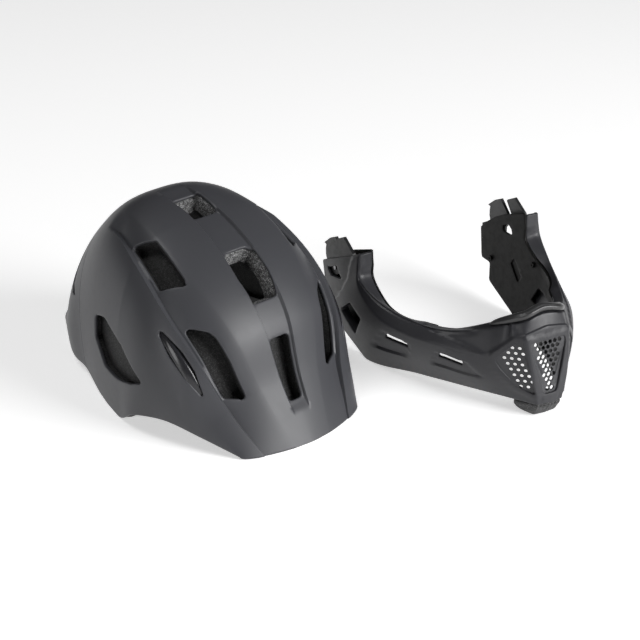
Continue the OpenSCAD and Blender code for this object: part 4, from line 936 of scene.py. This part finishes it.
looks = {
    "shell": moulded("shellSatin", (0.060, 0.061, 0.068), 0.42, 0.08, 0.012, Specular_IOR_Level=0.42),
    "barShell": moulded("barSatin", (0.030, 0.030, 0.034), 0.42, 0.08, 0.02, Specular_IOR_Level=0.38),
    # painted shade: the shells' inside is a darker copy of their satin, standing in for the shade under the
    # rim
    "shellInsidePaintedShade": moulded("shellInsidePaintedShade", (0.02, 0.02, 0.022), 0.55),
    # painted shade: the last colour pair is a shaded copy of the foam's speckle, used outside the upper
    # middle channel
    "foam": beads("speckledFoam", (0.09, 0.09, 0.092), (0.46, 0.46, 0.46), 0.7, paintedShade=(0.06, 0.06, 0.061)),
    "darkFoam": beads("chinFoam", (0.03, 0.03, 0.031), (0.12, 0.12, 0.122), 0.55),
    "black": moulded("blackPlastic", (0.018, 0.018, 0.019), 0.42, 0.2),
    "inner": moulded("innerPlastic", (0.010, 0.010, 0.011), 0.42, 0.15, Specular_IOR_Level=0.3),
    "plate": moulded("platePlastic", (0.006, 0.0058, 0.0056), 0.5, 0.25, Specular_IOR_Level=0.14),
    "gloss": moulded("glossBlack", (0.022, 0.022, 0.025), 0.2, 0.02, 0.03),
    "steel": moulded("turnedSteel", (0.32, 0.32, 0.33), 0.32, 0.05, Metallic=1.0),
    "soft": moulded("softRubber", (0.04, 0.04, 0.041), 0.34, 0.05, 0.03),
    "grille": moulded("grillePlastic", (0.03, 0.03, 0.034), 0.42, 0.1),
    "cloth": woven("padCloth", (0.02, 0.02, 0.022), 0.9, 5200.0, Sheen_Weight=0.3),
    "webbing": woven("strapWebbing", (0.016, 0.016, 0.017), 0.7, 3400.0),
}
slotLook = {"shell": "shell", "foam": "foam", "pad": "cloth", "webbing": "webbing", "black_plastic": "black",
            "gloss_black": "gloss", "inner_plastic": "inner", "steel": "steel", "spring_steel": "steel",
            "soft_lip": "soft", "grille": "grille"}
for part in frame["record"]["subparts"]:
    dress(nodes[part["node"]], slotLook[part["material_slot"]])
dress(nodes["arm_screws"], "plate")


# Closed skins: rings of points joined into one surface with a fan over each end

# Faces run from each ring to the next; the UV map holds millimetres along the rings and round them.
def tube(name, rings, smoothAngle=40):
    n, m = rings.shape[:2]
    i, j = np.meshgrid(np.arange(n - 1), np.arange(m), indexing="ij")
    corners = [np.stack([i + di, j + dj], -1) for di, dj in ((0, 0), (0, 1), (1, 1), (1, 0))]
    corners = np.stack(corners, -2).reshape(-1, 4, 2)
    quads = corners[..., 0] * m + corners[..., 1] % m
    k = np.arange(m)
    first = np.stack([0 * k + n * m, (k + 1) % m, k], -1)
    last = np.stack([0 * k + n * m + 1, (n - 1) * m + k, (n - 1) * m + (k + 1) % m], -1)
    points = np.vstack([rings.reshape(-1, 3), rings[0].mean(0), rings[-1].mean(0)])
    a, b, c = points[np.vstack([quads[:, :3], quads[:, [0, 2, 3]], first, last])].transpose(1, 0, 2)
    if (np.cross(a, b) * c).sum() < 0:  # inside out
        corners, quads, first, last = (x[:, ::-1] for x in (corners, quads, first, last))
    o = makeMesh(name, points, quads.tolist() + first.tolist() + last.tolist(), None, smoothAngle)
    loop = rings[n // 2]
    far, across = lengths(rings.mean(1)), lengths(np.vstack([loop, loop[:1]]))
    uv = np.stack([far[corners[..., 0]], across[corners[..., 1]]], -1).reshape(-1, 2)
    uv = np.vstack([uv, np.zeros((6 * m, 2))]) * mm
    o.data.uv_layers.new(name="weave").data.foreach_set("uv", uv.ravel())
    return o


# Closed skin of a front and a back with the same grid.
def slab(name, front, back, smoothAngle):
    return tube(name, np.concatenate([front, back[:, ::-1]], 1), smoothAngle)


# A flat strip along a path: its section has round edges, and its flat side faces the way given at each point.
def strip(name, path, facing, width, thick, rows):
    u = np.linspace(0, len(path) - 1, rows)
    p = along(path, u)
    ahead = unit(along(path, np.minimum(u + 0.02, len(path) - 1)) - along(path, np.maximum(u - 0.02, 0)))
    across = unit(np.cross(ahead, unit(runs(facing, u))))
    out = np.cross(across, ahead)
    bend = np.radians(np.linspace(-90, 90, 7))
    half, r = width / 2 - thick / 2, thick / 2
    flat = np.linspace(-0.8, 0.8, 9)
    x = np.concatenate([half + r * np.cos(bend), -flat * half, -half - r * np.cos(bend), flat * half])
    y = np.concatenate([r * np.sin(bend), 0 * flat + r, -r * np.sin(bend), 0 * flat - r])
    rings = p[:, None] + across[:, None] * x[:, None] + out[:, None] * y[:, None]
    rings[..., 2] = np.maximum(rings[..., 2], np.where(y > 0, thick, 0))
    return tube(name, rings)


# Inside of the helmet: trims, pads, bands and straps

innerSizes = {
    "linerIn": -helmetShape["wall"] - helmetShape["linerGap"] - helmetShape["linerWall"], "padGap": 1.15,
    "ringHigh": 50, "bandWall": 1.6, "bandHigh": 14, "bandOff": 4, "bandBack": 91.9, "tabX": 40.5,
    "strapWidth": 15, "strapWall": 1.2, "strapOff": 0.9, "dividerHalf": 10, "buckleY": -18,
}


# Angle on a hoop at which the liner's inside is z high, found by halving.
def angleAt(u, z):
    low, high = 0.0, 90.0
    for _ in range(16):
        mid = (low + high) / 2
        low, high = (mid, high) if skin(u, mid, innerSizes["linerIn"])[2] > z else (low, mid)
    return (low + high) / 2


# Point z high on the hoop at u, d inside the liner.
def insideAt(u, z, d):
    return skin(u, angleAt(u, z), innerSizes["linerIn"] - d)


# Temple trims: a plate behind the lens-shaped hole with a crest that swells along its lower edge
trimSizes = {
    "first": 1.5, "last": 2.95, "past": 0.04, "high": [55.3, 50.4, 49.2, 49.0, 49.6],
    "low": [57.6, 58.0, 55.6, 52.9, 50.6], "margin": 1.6, "floor": -3.1, "back": -3.5,
    "crest": 0.5, "crestAt": 0.66, "crestWide": 0.33, "crestFrom": 0.03, "crestOver": 0.94,
}


def buildTrims():
    s = trimSizes
    t, j = np.linspace(0, 1, 61)[:, None], np.linspace(0, 1, 33)[None, :]
    high, low = (along(s[k], 4 * t[:, 0])[:, None] for k in ("high", "low"))
    swell = np.sin(np.pi * np.clip((t - s["crestFrom"]) / s["crestOver"], 0, 1)) ** 0.6
    bell = np.sqrt(np.clip(1 - np.abs((j - s["crestAt"]) / s["crestWide"]) ** 3, 0, 1))
    face = s["floor"] + (s["crest"] - s["floor"]) * swell * bell
    f = lerp(high - s["margin"], low + s["margin"], j)
    u = lerp(s["first"] - s["past"], s["last"] + s["past"], t) + 0 * j
    for side, word in sides:
        o = slab("templeTrim" + word, skin(u, side * f, face), skin(u, side * f, s["back"] + 0 * u), 50)
        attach(o, "root")
        standFor(o, "temple_trim_" + word.lower(), "gloss_black", "gloss")
    print("temple trims built")


# Comfort pads: a crowned face with its corners drawn in, stitched channels and a welded edge
padSizes = {  # first and last station, middle and half width in degrees
    "brow": [1.85, 2.25, 0, 52], "crown": [3.4, 5.4, 17, 6], "side": [3.2, 4.9, 57, 7],
    "edge": 1.5, "wall": 8, "draw": 0.05, "seam": 0.035, "channel": 2.2, "rows": 72, "columns": 28,
    "stitch": 0.5, "stitchIn": 0.035, "stitchWide": 0.012,
    "browChannels": (0.2, 0.4, 0.6, 0.8), "channels": (0.33, 0.66),
}
strapPadSizes = {"x": -24, "long": 30, "wide": 22, "low": 2.1, "edge": 1.2, "wall": 5.7, "draw": 0.06,
                 "seam": 0.04, "channel": 0.8, "rows": 49, "columns": 21}


def padGrid(k):
    return np.meshgrid(np.linspace(0, 1, k["rows"]), np.linspace(0, 1, k["columns"]), indexing="ij")


# Height of a pad from 0 at its edges to 1: the root of two humps multiplied, each 1 less a fourth power.
def padRise(s, t):
    a, b = (np.clip(1 - np.abs(2 * x - 1) ** 4, 0, 1) for x in (s, t))
    return np.sqrt(a * b)


# What an edge loses towards its two ends, by the square of the distance from its middle.
def drawIn(amount, x):
    return amount * (2 * x - 1) ** 2


# Depth of a sewn channel x along the pad: a bell round its line, fading with the pad's rise.
def channelDepth(k, x, at, rise):
    return k["channel"] * np.exp(-((x - at) / k["seam"]) ** 2) * rise


def padded(o, solid):
    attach(o, "root")
    standFor(o, solid, "pad", "cloth")


def buildPad(kind, word, side):
    k, place = padSizes, padSizes[kind]
    across = kind == "brow"  # the brow pad runs across, so its channels lie across too
    s, t = padGrid(k)
    ends, flanks = drawIn(k["draw"], t), drawIn(k["draw"], s)
    u = place[0] + (place[1] - place[0]) * lerp(ends, 1 - ends, s)
    f = side * place[2] - place[3] + place[3] * 2 * lerp(flanks, 1 - flanks, t)
    rise = padRise(s, t)
    height = lerp(k["edge"], k["wall"], rise)
    for c in k["browChannels"] if across else k["channels"]:
        height = height - channelDepth(k, t if across else s, c, rise)
    inset = np.minimum(np.minimum(s, 1 - s), np.minimum(t, 1 - t) * 0.5)
    height = height - k["stitch"] * np.exp(-((inset - k["stitchIn"]) / k["stitchWide"]) ** 2)
    base = innerSizes["linerIn"] - innerSizes["padGap"] + 0 * u
    o = slab(kind + "Pad" + word, skin(u, f, base - height), skin(u, f, base), 60)
    padded(o, kind + "_pad" + ("_" + word.lower() if word else ""))


def buildPads():
    buildPad("brow", "", 1)
    for side, word in sides:
        buildPad("crown", word, side)
        buildPad("side", word, side)
    k = strapPadSizes
    s, t = padGrid(k)
    rise = padRise(s, t)
    x = k["x"] - k["long"] * s
    y = innerSizes["buckleY"] + k["wide"] * (t - 0.5) * (1 - drawIn(k["draw"], s))
    lift = lerp(k["edge"], k["wall"], rise) - channelDepth(k, s, 0.5, rise)
    face, back = np.stack([x, y, k["low"] + lift], -1), np.stack([x, y, k["low"] + 0 * x], -1)
    padded(slab("chinStrapPad", face, back, 60), "chin_strap_pad")
    print("pads built")


# Head ring bands, from the temple pin round to the rack behind the head
def buildBands():
    s = innerSizes
    anchor = insideAt(3, s["ringHigh"], 0)
    bandX = anchor[0] - s["bandOff"]
    route = [[bandX, anchor[1] - 12], [bandX, anchor[1]]]
    route += [insideAt(u, s["ringHigh"], s["bandOff"])[:2].tolist() for u in np.arange(3.5, 6.01, 0.5)]
    start = [s["tabX"] + 6, s["bandBack"] - 0.7]
    route.append((np.array(route[-1]) * 0.47 + np.array(start) * 0.53).tolist())
    route = np.array(route + [start, [s["tabX"], s["bandBack"]]])
    u = np.linspace(0, len(route) - 1, 12 * len(route))
    p = along(route, u)
    t = unit(along(route, np.minimum(u + 0.01, len(route) - 1)) - along(route, np.maximum(u - 0.01, 0)))
    square = np.stack([-t[:, 1], t[:, 0]], -1)
    near, high = oblong(np.radians(np.arange(0, 360, 15)), 0.35)
    xy = p[:, None] + square[:, None] * (near * s["bandWall"] / 2)[None, :, None]
    z = s["ringHigh"] + (high * s["bandHigh"] / 2)[None, :] + 0 * xy[..., 0]
    rings = np.concatenate([xy, z[..., None]], -1)
    for side, word in sides:
        o = tube("band" + word, mirrored(rings, side), 50)
        start, end = ((side * route[k][0] * mm, route[k][1] * mm, 0.05) for k in (3, -1))
        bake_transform(o)
        standFor(o, "band_" + word.lower(), "black_plastic", "black")
    print("head ring bands built")


# Webbing on each side: front and rear branches down to the divider, and one strap on to the buckle. Each
# route has its points and the way that the webbing faces there.
def buildStraps():
    s = innerSizes
    x, y, z = insideAt(4.9, 22, 5)[0], 2, 22
    half = s["dividerHalf"] + s["strapOff"]
    low = s["strapWall"] / 2 + 0.3
    for side, word, endX in ((1, "Left", 32.3), (-1, "Right", 20.3)):
        midX = x + (endX - x) * 0.6
        routes = {
            "Front": ([insideAt(3.3, 33, 6), insideAt(3.42, 28, 6), [x, y - half - 8.1, z + 1],
                       [x, y - half, z]], [[1, -0.1, 0], [1, 0, 0], [1, 0, 0], [1, 0, 0]]),
            "Rear": ([insideAt(5.9, 33, 6), insideAt(5.4, 28, 6), [x, y + half + 8.1, z],
                      [x, y + half, z]], [[1, 0.2, 0], [1, 0.2, 0], [1, 0, 0], [1, 0, 0]]),
            "Low": ([[x, y, z - half], [x - 1, y, z - half - 4.1], [x - 8, y - 1, low + 3.4],
                     [x - 20, y - 9, low + 0.5], [midX, s["buckleY"], low + 0.1], [endX, s["buckleY"], low]],
                    [[1, 0, 0], [1, 0, 0.1], [0.4, 0, 1], [0, 0, 1], [0, 0, 1], [0, 0, 1]]),
        }
        for part, (route, facing) in routes.items():
            o = strip("strap" + part + word, mirrored(route, side), mirrored(facing, side), s["strapWidth"],
                      s["strapWall"], 60)
            if part == "Low" and side > 0:  # this one's placing is baked into its mesh, and it is not attached to the root
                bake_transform(o)
            else:
                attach(o, "root")
            dress(o, "webbing")
            if part == "Low":
                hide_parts("strap_" + word.lower())
    print("straps built")


# Fittings of the chin bar: latch springs, inner plates of the arms, grilles, lip and foam

# Point in the frame of an arm's end.
def armPoint(x, y, z, side):
    x, y, z = (np.asarray(v)[..., None] * direction for v, direction in zip((x, y, z), armAxes))
    return placeBar((armMid + x + y + z) * [side, 1, 1])


springSizes = {"x": -6.5, "y": (3, -14), "z": (-6.2, -7), "bow": 2.5, "wide": 2.2, "wall": 0.5, "rows": 31}


# Flat springs behind the latch levers: a shallow sine from the cap to the lever.
def buildSprings():
    s = springSizes
    t = np.linspace(0, 1, s["rows"])[:, None]
    y, z = (start + run * t for start, run in (s["y"], s["z"]))
    z = z - s["bow"] * np.sin(np.pi * t)
    cross, lift = (k[None, :] for k in oblong(np.radians(np.arange(0, 360, 22.5)), 0.4))
    cross, lift = cross * s["wide"] / 2, lift * s["wall"] / 2
    x = s["x"] + s["wide"] / 2 + cross + 0 * t
    for side, word in sides:
        rings = armPoint(x, y + 0 * cross, z + s["wall"] / 2 + lift, side)
        o = tube("latchSpring" + word, rings, 50)
        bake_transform(o)
        standFor(o, "latch_spring_" + word.lower(), "spring_steel", "steel")
    print("latch springs built")


# Inner plates of the arms: the bar's skin set in to the plate's depth, with slots, window and a raised rim
plateSizes = {
    "first": 3.25, "last": 8, "wall": 2.2, "gap": 0.3, "reach": -0.6, "reachOver": 0.8, "liftFrom": 7,
    "levels": [[1.94, 2], [1.5, 2.2], [1, 2.6], [0.6, 4.5], [0.35, 3.5], [0.15, 0], [0, -4]],
    "slot": [[-41, 66], [-55, 49], [-49, 40], [-34, 58]], "pocket": 1.5,
    "window": [[-14, -5], [2, -5], [3, -12], [-13, -19]],
    "lowSlotGrow": [1.3, 2.4], "lowSlotShift": [0.1, -0.12],
    "edge": [(0.25, 0.1), (0.5, 0.4), (0.6, 0.9), (0.5, 1.9)],
}


# Level on the bar for w down the plate, with the top corner set down as on the bar.
def plateLevel(q, w):
    v = runs(np.array(plateSizes["levels"])[:, 0], w)
    return np.where(v > 1, 1 + (v - 1) * (1 - topDrop(np.abs(q))), v)


# The bar's skin moved in behind its edges, its levels lifted over the last station and its upper part moved
# along the top face by reach.
def plateSurface(side):
    s = plateSizes
    lift = np.array(s["levels"])[:, 1]

    def surf(q, w, d):
        v = plateLevel(q, w)
        deep = barDepth(q, v) + s["gap"] + s["wall"] - d
        p = barSkin(q, v) - facingDir(q) * np.asarray(deep)[..., None]
        p = p + armAxes[2] * (runs(lift, w) * np.clip(q - s["liftFrom"], 0, 1))[..., None]
        edge = unit(barLine("top", q) - barLine("crease", q))
        reach = s["reach"] * np.clip(1 - w / 2, 0, 1) * smooth((q - s["first"]) / s["reachOver"])
        p = placeBar((p + edge * reach[..., None]) * [side, 1, 1])
        p[..., 2] = np.maximum(p[..., 2], s["gap"])
        return p
    return surf


def buildPlates():
    s = plateSizes
    q = np.linspace(s["first"], s["last"], 90)
    w = np.concatenate([np.linspace(0, 2, 16), np.linspace(2.1, 6, 34)])
    gridA, gridB = np.meshgrid(q, w, indexing="ij")
    low = np.array(barOpenings["slots"][1])
    low = low.mean(0) + (low - low.mean(0)) * s["lowSlotGrow"] + s["lowSlotShift"]
    inside = ([barShape["armInside"], 0, 0], axes(0))
    for side, word in sides:
        cuts = [
            slotCut(low, 1, 2.2, plateLevel),
            {**planeCut(s["slot"], inside, side, (1, 2), (-20, 20), 3), "pocket": s["pocket"]},
            planeCut(s["window"], (armMid, armAxes), side, (1, 2), (-30, 0), 3.5),
            namedCut("notch", side),
        ]
        o = panel("armPlate" + word, gridA, gridB, plateSurface(side), cuts,
                  lambda a, b: 0 * a + s["wall"], s["edge"])
        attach(o, "root")
        standFor(o, "arm_plate_" + word.lower(), "inner_plastic", "plate", "plate", "plate", "plate")
    print("arm plates built")


# Grilles: a copy of each built one, set nearly flush in its opening
grilleSizes = {
    "fit": 0.975, "below": 0.9, "near": 2.5, "share": 40,
    "pieces": (("centre_grille", "centreGrille", "centre", 1),
               ("side_grille_left", "sideGrilleLeft", "side", 1),
               ("side_grille_right", "sideGrilleRight", "side", -1)),
}


def buildGrilles():
    s = grilleSizes
    q, w = np.meshgrid(np.linspace(0, 2.4, 49), np.linspace(0.05, 0.98, 25))
    for solid, name, opening, side in s["pieces"]:
        origin, turn = barOpenings["frames"][opening]
        work = bmesh.new()
        work.from_mesh(nodes[solid].data)
        bmesh.ops.remove_doubles(work, verts=work.verts, dist=1e-6)
        me = bpy.data.meshes.new(name)
        work.to_mesh(me)
        work.free()
        p = np.zeros(3 * len(me.vertices))
        me.vertices.foreach_get("co", p)
        c = (barFrame(p.reshape(-1, 3) / mm) * [side, 1, 1] - origin) @ turn.T
        face = (barSkin(q, w) - origin) @ turn.T  # how high the bar's skin lies round the opening
        beside = signedDistance(np.array(barOpenings[opening], float), face[..., 0], face[..., 1])
        c = c * [s["fit"], s["fit"], 1]
        level = np.percentile(face[..., 2][np.abs(beside) < s["near"]], s["share"])
        c[:, 2] += level - s["below"] - c[:, 2].max()
        p = placeBar((c @ turn + origin) * [side, 1, 1]) * mm
        me.vertices.foreach_set("co", p.ravel())
        me.shade_smooth()
        me.set_sharp_from_angle(angle=math.radians(30))
        g = placed(name, me)
        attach(g, "root")
        standFor(g, solid, "grille", "grille")
    print("grilles built")


# Soft lip over the chin's top edge, and the foam block under the chin: closed sections carried along the
# bar's edges, drawn in at both ends
lipSizes = {"reach": 1.85, "wide": 4.75, "high": 3.5, "off": 0.6, "rise": 3, "seam": 0.16, "seamAt": 52,
            "seamWide": 0.22, "rows": 141}
foamSizes = {
    "reach": 1.38, "rows": 61, "columns": 45, "wave": 0.5, "waveAt": 0.8, "waveWide": 0.22, "under": 0.3,
    "outer": [[-2.4, 0.98], [-1.8, 0.8], [-4.2, 0.5], [-7.5, 0.14], [-12, 0.0]],  # inwards, height's share
    "inner": [[-6, 0.0], [-8.6, 0.2], [-8.6, 0.6], [-6.5, 0.98], [0, 0.99]],  # the same, past the bar's depth
    "last": [-7, 0.99],
}


def softPiece(name, points, q, solid, slot, look):
    o = tube(name, placeBar(flipped(points, q)), 60)
    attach(o, "root")
    standFor(o, solid, slot, look)


def buildLip():
    s = lipSizes
    q = np.linspace(-s["reach"], s["reach"], s["rows"])[:, None]
    a = np.radians(np.arange(0, 360, 10))[None, :]
    k = np.sqrt(np.clip(1.04 - np.abs(q / s["reach"]) ** 6, 0, 1))
    q, a = q + 0 * a, a + 0 * q
    seam = 1 - s["seam"] * np.exp(-((np.mod(a, 2 * np.pi) - np.radians(s["seamAt"])) / s["seamWide"]) ** 2)
    x, z = (c * size * k * seam for c, size in zip(oblong(a, 0.8), (s["wide"], s["high"])))
    face = facingDir(np.abs(q))
    p = barLine("top", np.abs(q)) - face * (s["wide"] + s["off"]) + face * x[..., None]
    p[..., 2] += s["off"] + s["rise"] * k + z
    softPiece("mouthLip", p, q, "mouth_pad", "soft_lip", "soft")


def buildChinFoam():
    s = foamSizes
    t = np.linspace(-1, 1, s["rows"])
    q = s["reach"] * t
    low = barLine("low", np.abs(q))
    high = low[:, 2] - s["under"]
    knots = s["outer"] + [[-barShape["depth"] + x, share] for x, share in s["inner"]] + [s["last"]]
    loop = along(np.array(knots[-1:] + knots + knots[:2]), np.linspace(1, len(knots) + 1, s["columns"])[:-1])
    inward, share = loop[None, :, 0], loop[None, :, 1]
    wave = s["wave"] * np.cos(9 * np.pi * t)[:, None] * np.exp(-((share - s["waveAt"]) / s["waveWide"]) ** 2)
    shrink = np.sqrt(np.clip(1.03 - np.abs(t) ** 8, 0, 1))[:, None]
    off = (inward + 10) * shrink - 10 + wave
    p = np.repeat(low[:, None], len(loop), 1) + facingDir(np.abs(q))[:, None] * off[..., None]
    p[..., 2] = np.maximum(high[:, None] * (0.5 + (share - 0.5) * shrink), 0)
    softPiece("chinFoam", p, np.repeat(q[:, None], len(loop), 1), "chin_foam", "foam", "darkFoam")
    print("lip and chin foam built")


# Camera, light and floor

cameraSizes = {"azimuth": -41.56, "elevation": 27.10, "aim": (0.11786, 0.05319), "distance": 1.760,
               "lens": 101.25, "sensor": 36}
lampSizes = [  # name, direction to the lamp, distance, size, watts
    ("keyLamp", (0.30, -0.86, 0.40), 2.6, 1.4, 74),
    ("topLamp", (-0.35, 0.25, 0.90), 2.6, 0.9, 15),
    ("fillLamp", (-0.97, -0.1, 0.22), 2.6, 0.8, 8),
]
lampTarget = Vector((0.11, -0.06, 0.08))
wallShade = {"low": 0.01, "high": 0.12, "pale": 0.7, "dark": 0.035}
floorSizes = {"half": 6.0, "colour": (0.9, 0.9, 0.9, 1), "rough": 0.3, "glow": 0.56}


def buildCamera():
    s = cameraSizes
    a, e = math.radians(s["azimuth"]), math.radians(s["elevation"])
    right = Vector((math.cos(a), math.sin(a), 0))
    ahead = Vector((-math.sin(a) * math.cos(e), math.cos(a) * math.cos(e), -math.sin(e)))
    up = right.cross(ahead)
    data = bpy.data.cameras.new("camera")
    data.lens, data.sensor_width = s["lens"], s["sensor"]
    cam = placed("camera", data)
    cam.location = right * s["aim"][0] + up * s["aim"][1] - ahead * s["distance"]
    cam.rotation_euler = ahead.to_track_quat("-Z", "Y").to_euler()
    bpy.context.scene.camera = cam


def buildLights():
    for name, way, far, size, watts in lampSizes:
        lamp = bpy.data.lights.new(name, "AREA")
        lamp.size, lamp.energy = size, watts
        o = placed(name, lamp)
        o.location = lampTarget + Vector(way).normalized() * far
        o.rotation_euler = (lampTarget - o.location).to_track_quat("-Z", "Y").to_euler()
    world = bpy.data.worlds.new("studio")
    bpy.context.scene.world = world
    world.use_nodes = True
    t = world.node_tree
    back = t.nodes["Background"]  # a pale wall that darkens towards the ceiling
    split = node(t, "ShaderNodeSeparateXYZ")
    t.links.new(t.nodes.new("ShaderNodeTexCoord").outputs["Generated"], split.inputs[0])
    back.inputs["Color"].default_value = (1, 1, 1, 1)
    s = wallShade
    strength = ramp(t, split.outputs[2], s["low"], s["high"], s["pale"], s["dark"])
    t.links.new(strength, back.inputs["Strength"])


def buildFloor():
    s = floorSizes
    me = bpy.data.meshes.new("floor")
    corners = [(x * s["half"], y * s["half"], 0) for x, y in ((-1, -1), (1, -1), (1, 1), (-1, 1))]
    me.from_pydata(corners, [], [(0, 1, 2, 3)])
    m = bpy.data.materials.new("paleFloor")
    m.use_nodes = True
    t = m.node_tree
    p = t.nodes["Principled BSDF"]
    p.inputs["Base Color"].default_value = s["colour"]
    p.inputs["Roughness"].default_value = s["rough"]
    path = t.nodes.new("ShaderNodeLightPath")
    seen = maths(t, "MAXIMUM", path.outputs["Is Camera Ray"], path.outputs["Is Glossy Ray"])
    seen = maths(t, "MAXIMUM", seen, path.outputs["Is Transmission Ray"])
    p.inputs["Emission Color"].default_value = (1, 1, 1, 1)
    t.links.new(ramp(t, seen, 0, 1, 0.0, s["glow"]), p.inputs["Emission Strength"])
    side = t.nodes.new("ShaderNodeNewGeometry")  # clear from below, so that the inside can be looked at
    clear = t.nodes.new("ShaderNodeBsdfTransparent")
    mix = t.nodes.new("ShaderNodeMixShader")
    for k, end in enumerate((side.outputs["Backfacing"], p.outputs[0], clear.outputs[0])):
        t.links.new(end, mix.inputs[k])
    t.links.new(mix.outputs[0], t.nodes["Material Output"].inputs["Surface"])
    me.materials.append(m)
    placed("floor", me)


buildShells()
buildLiner()
buildBarShell()
buildTrims()
buildPads()
buildBands()
buildStraps()
buildSprings()
buildPlates()
buildGrilles()
buildLip()
buildChinFoam()
buildCamera()
buildLights()
buildFloor()
bpy.context.scene.view_settings.view_transform = "Standard"
print("scene built")
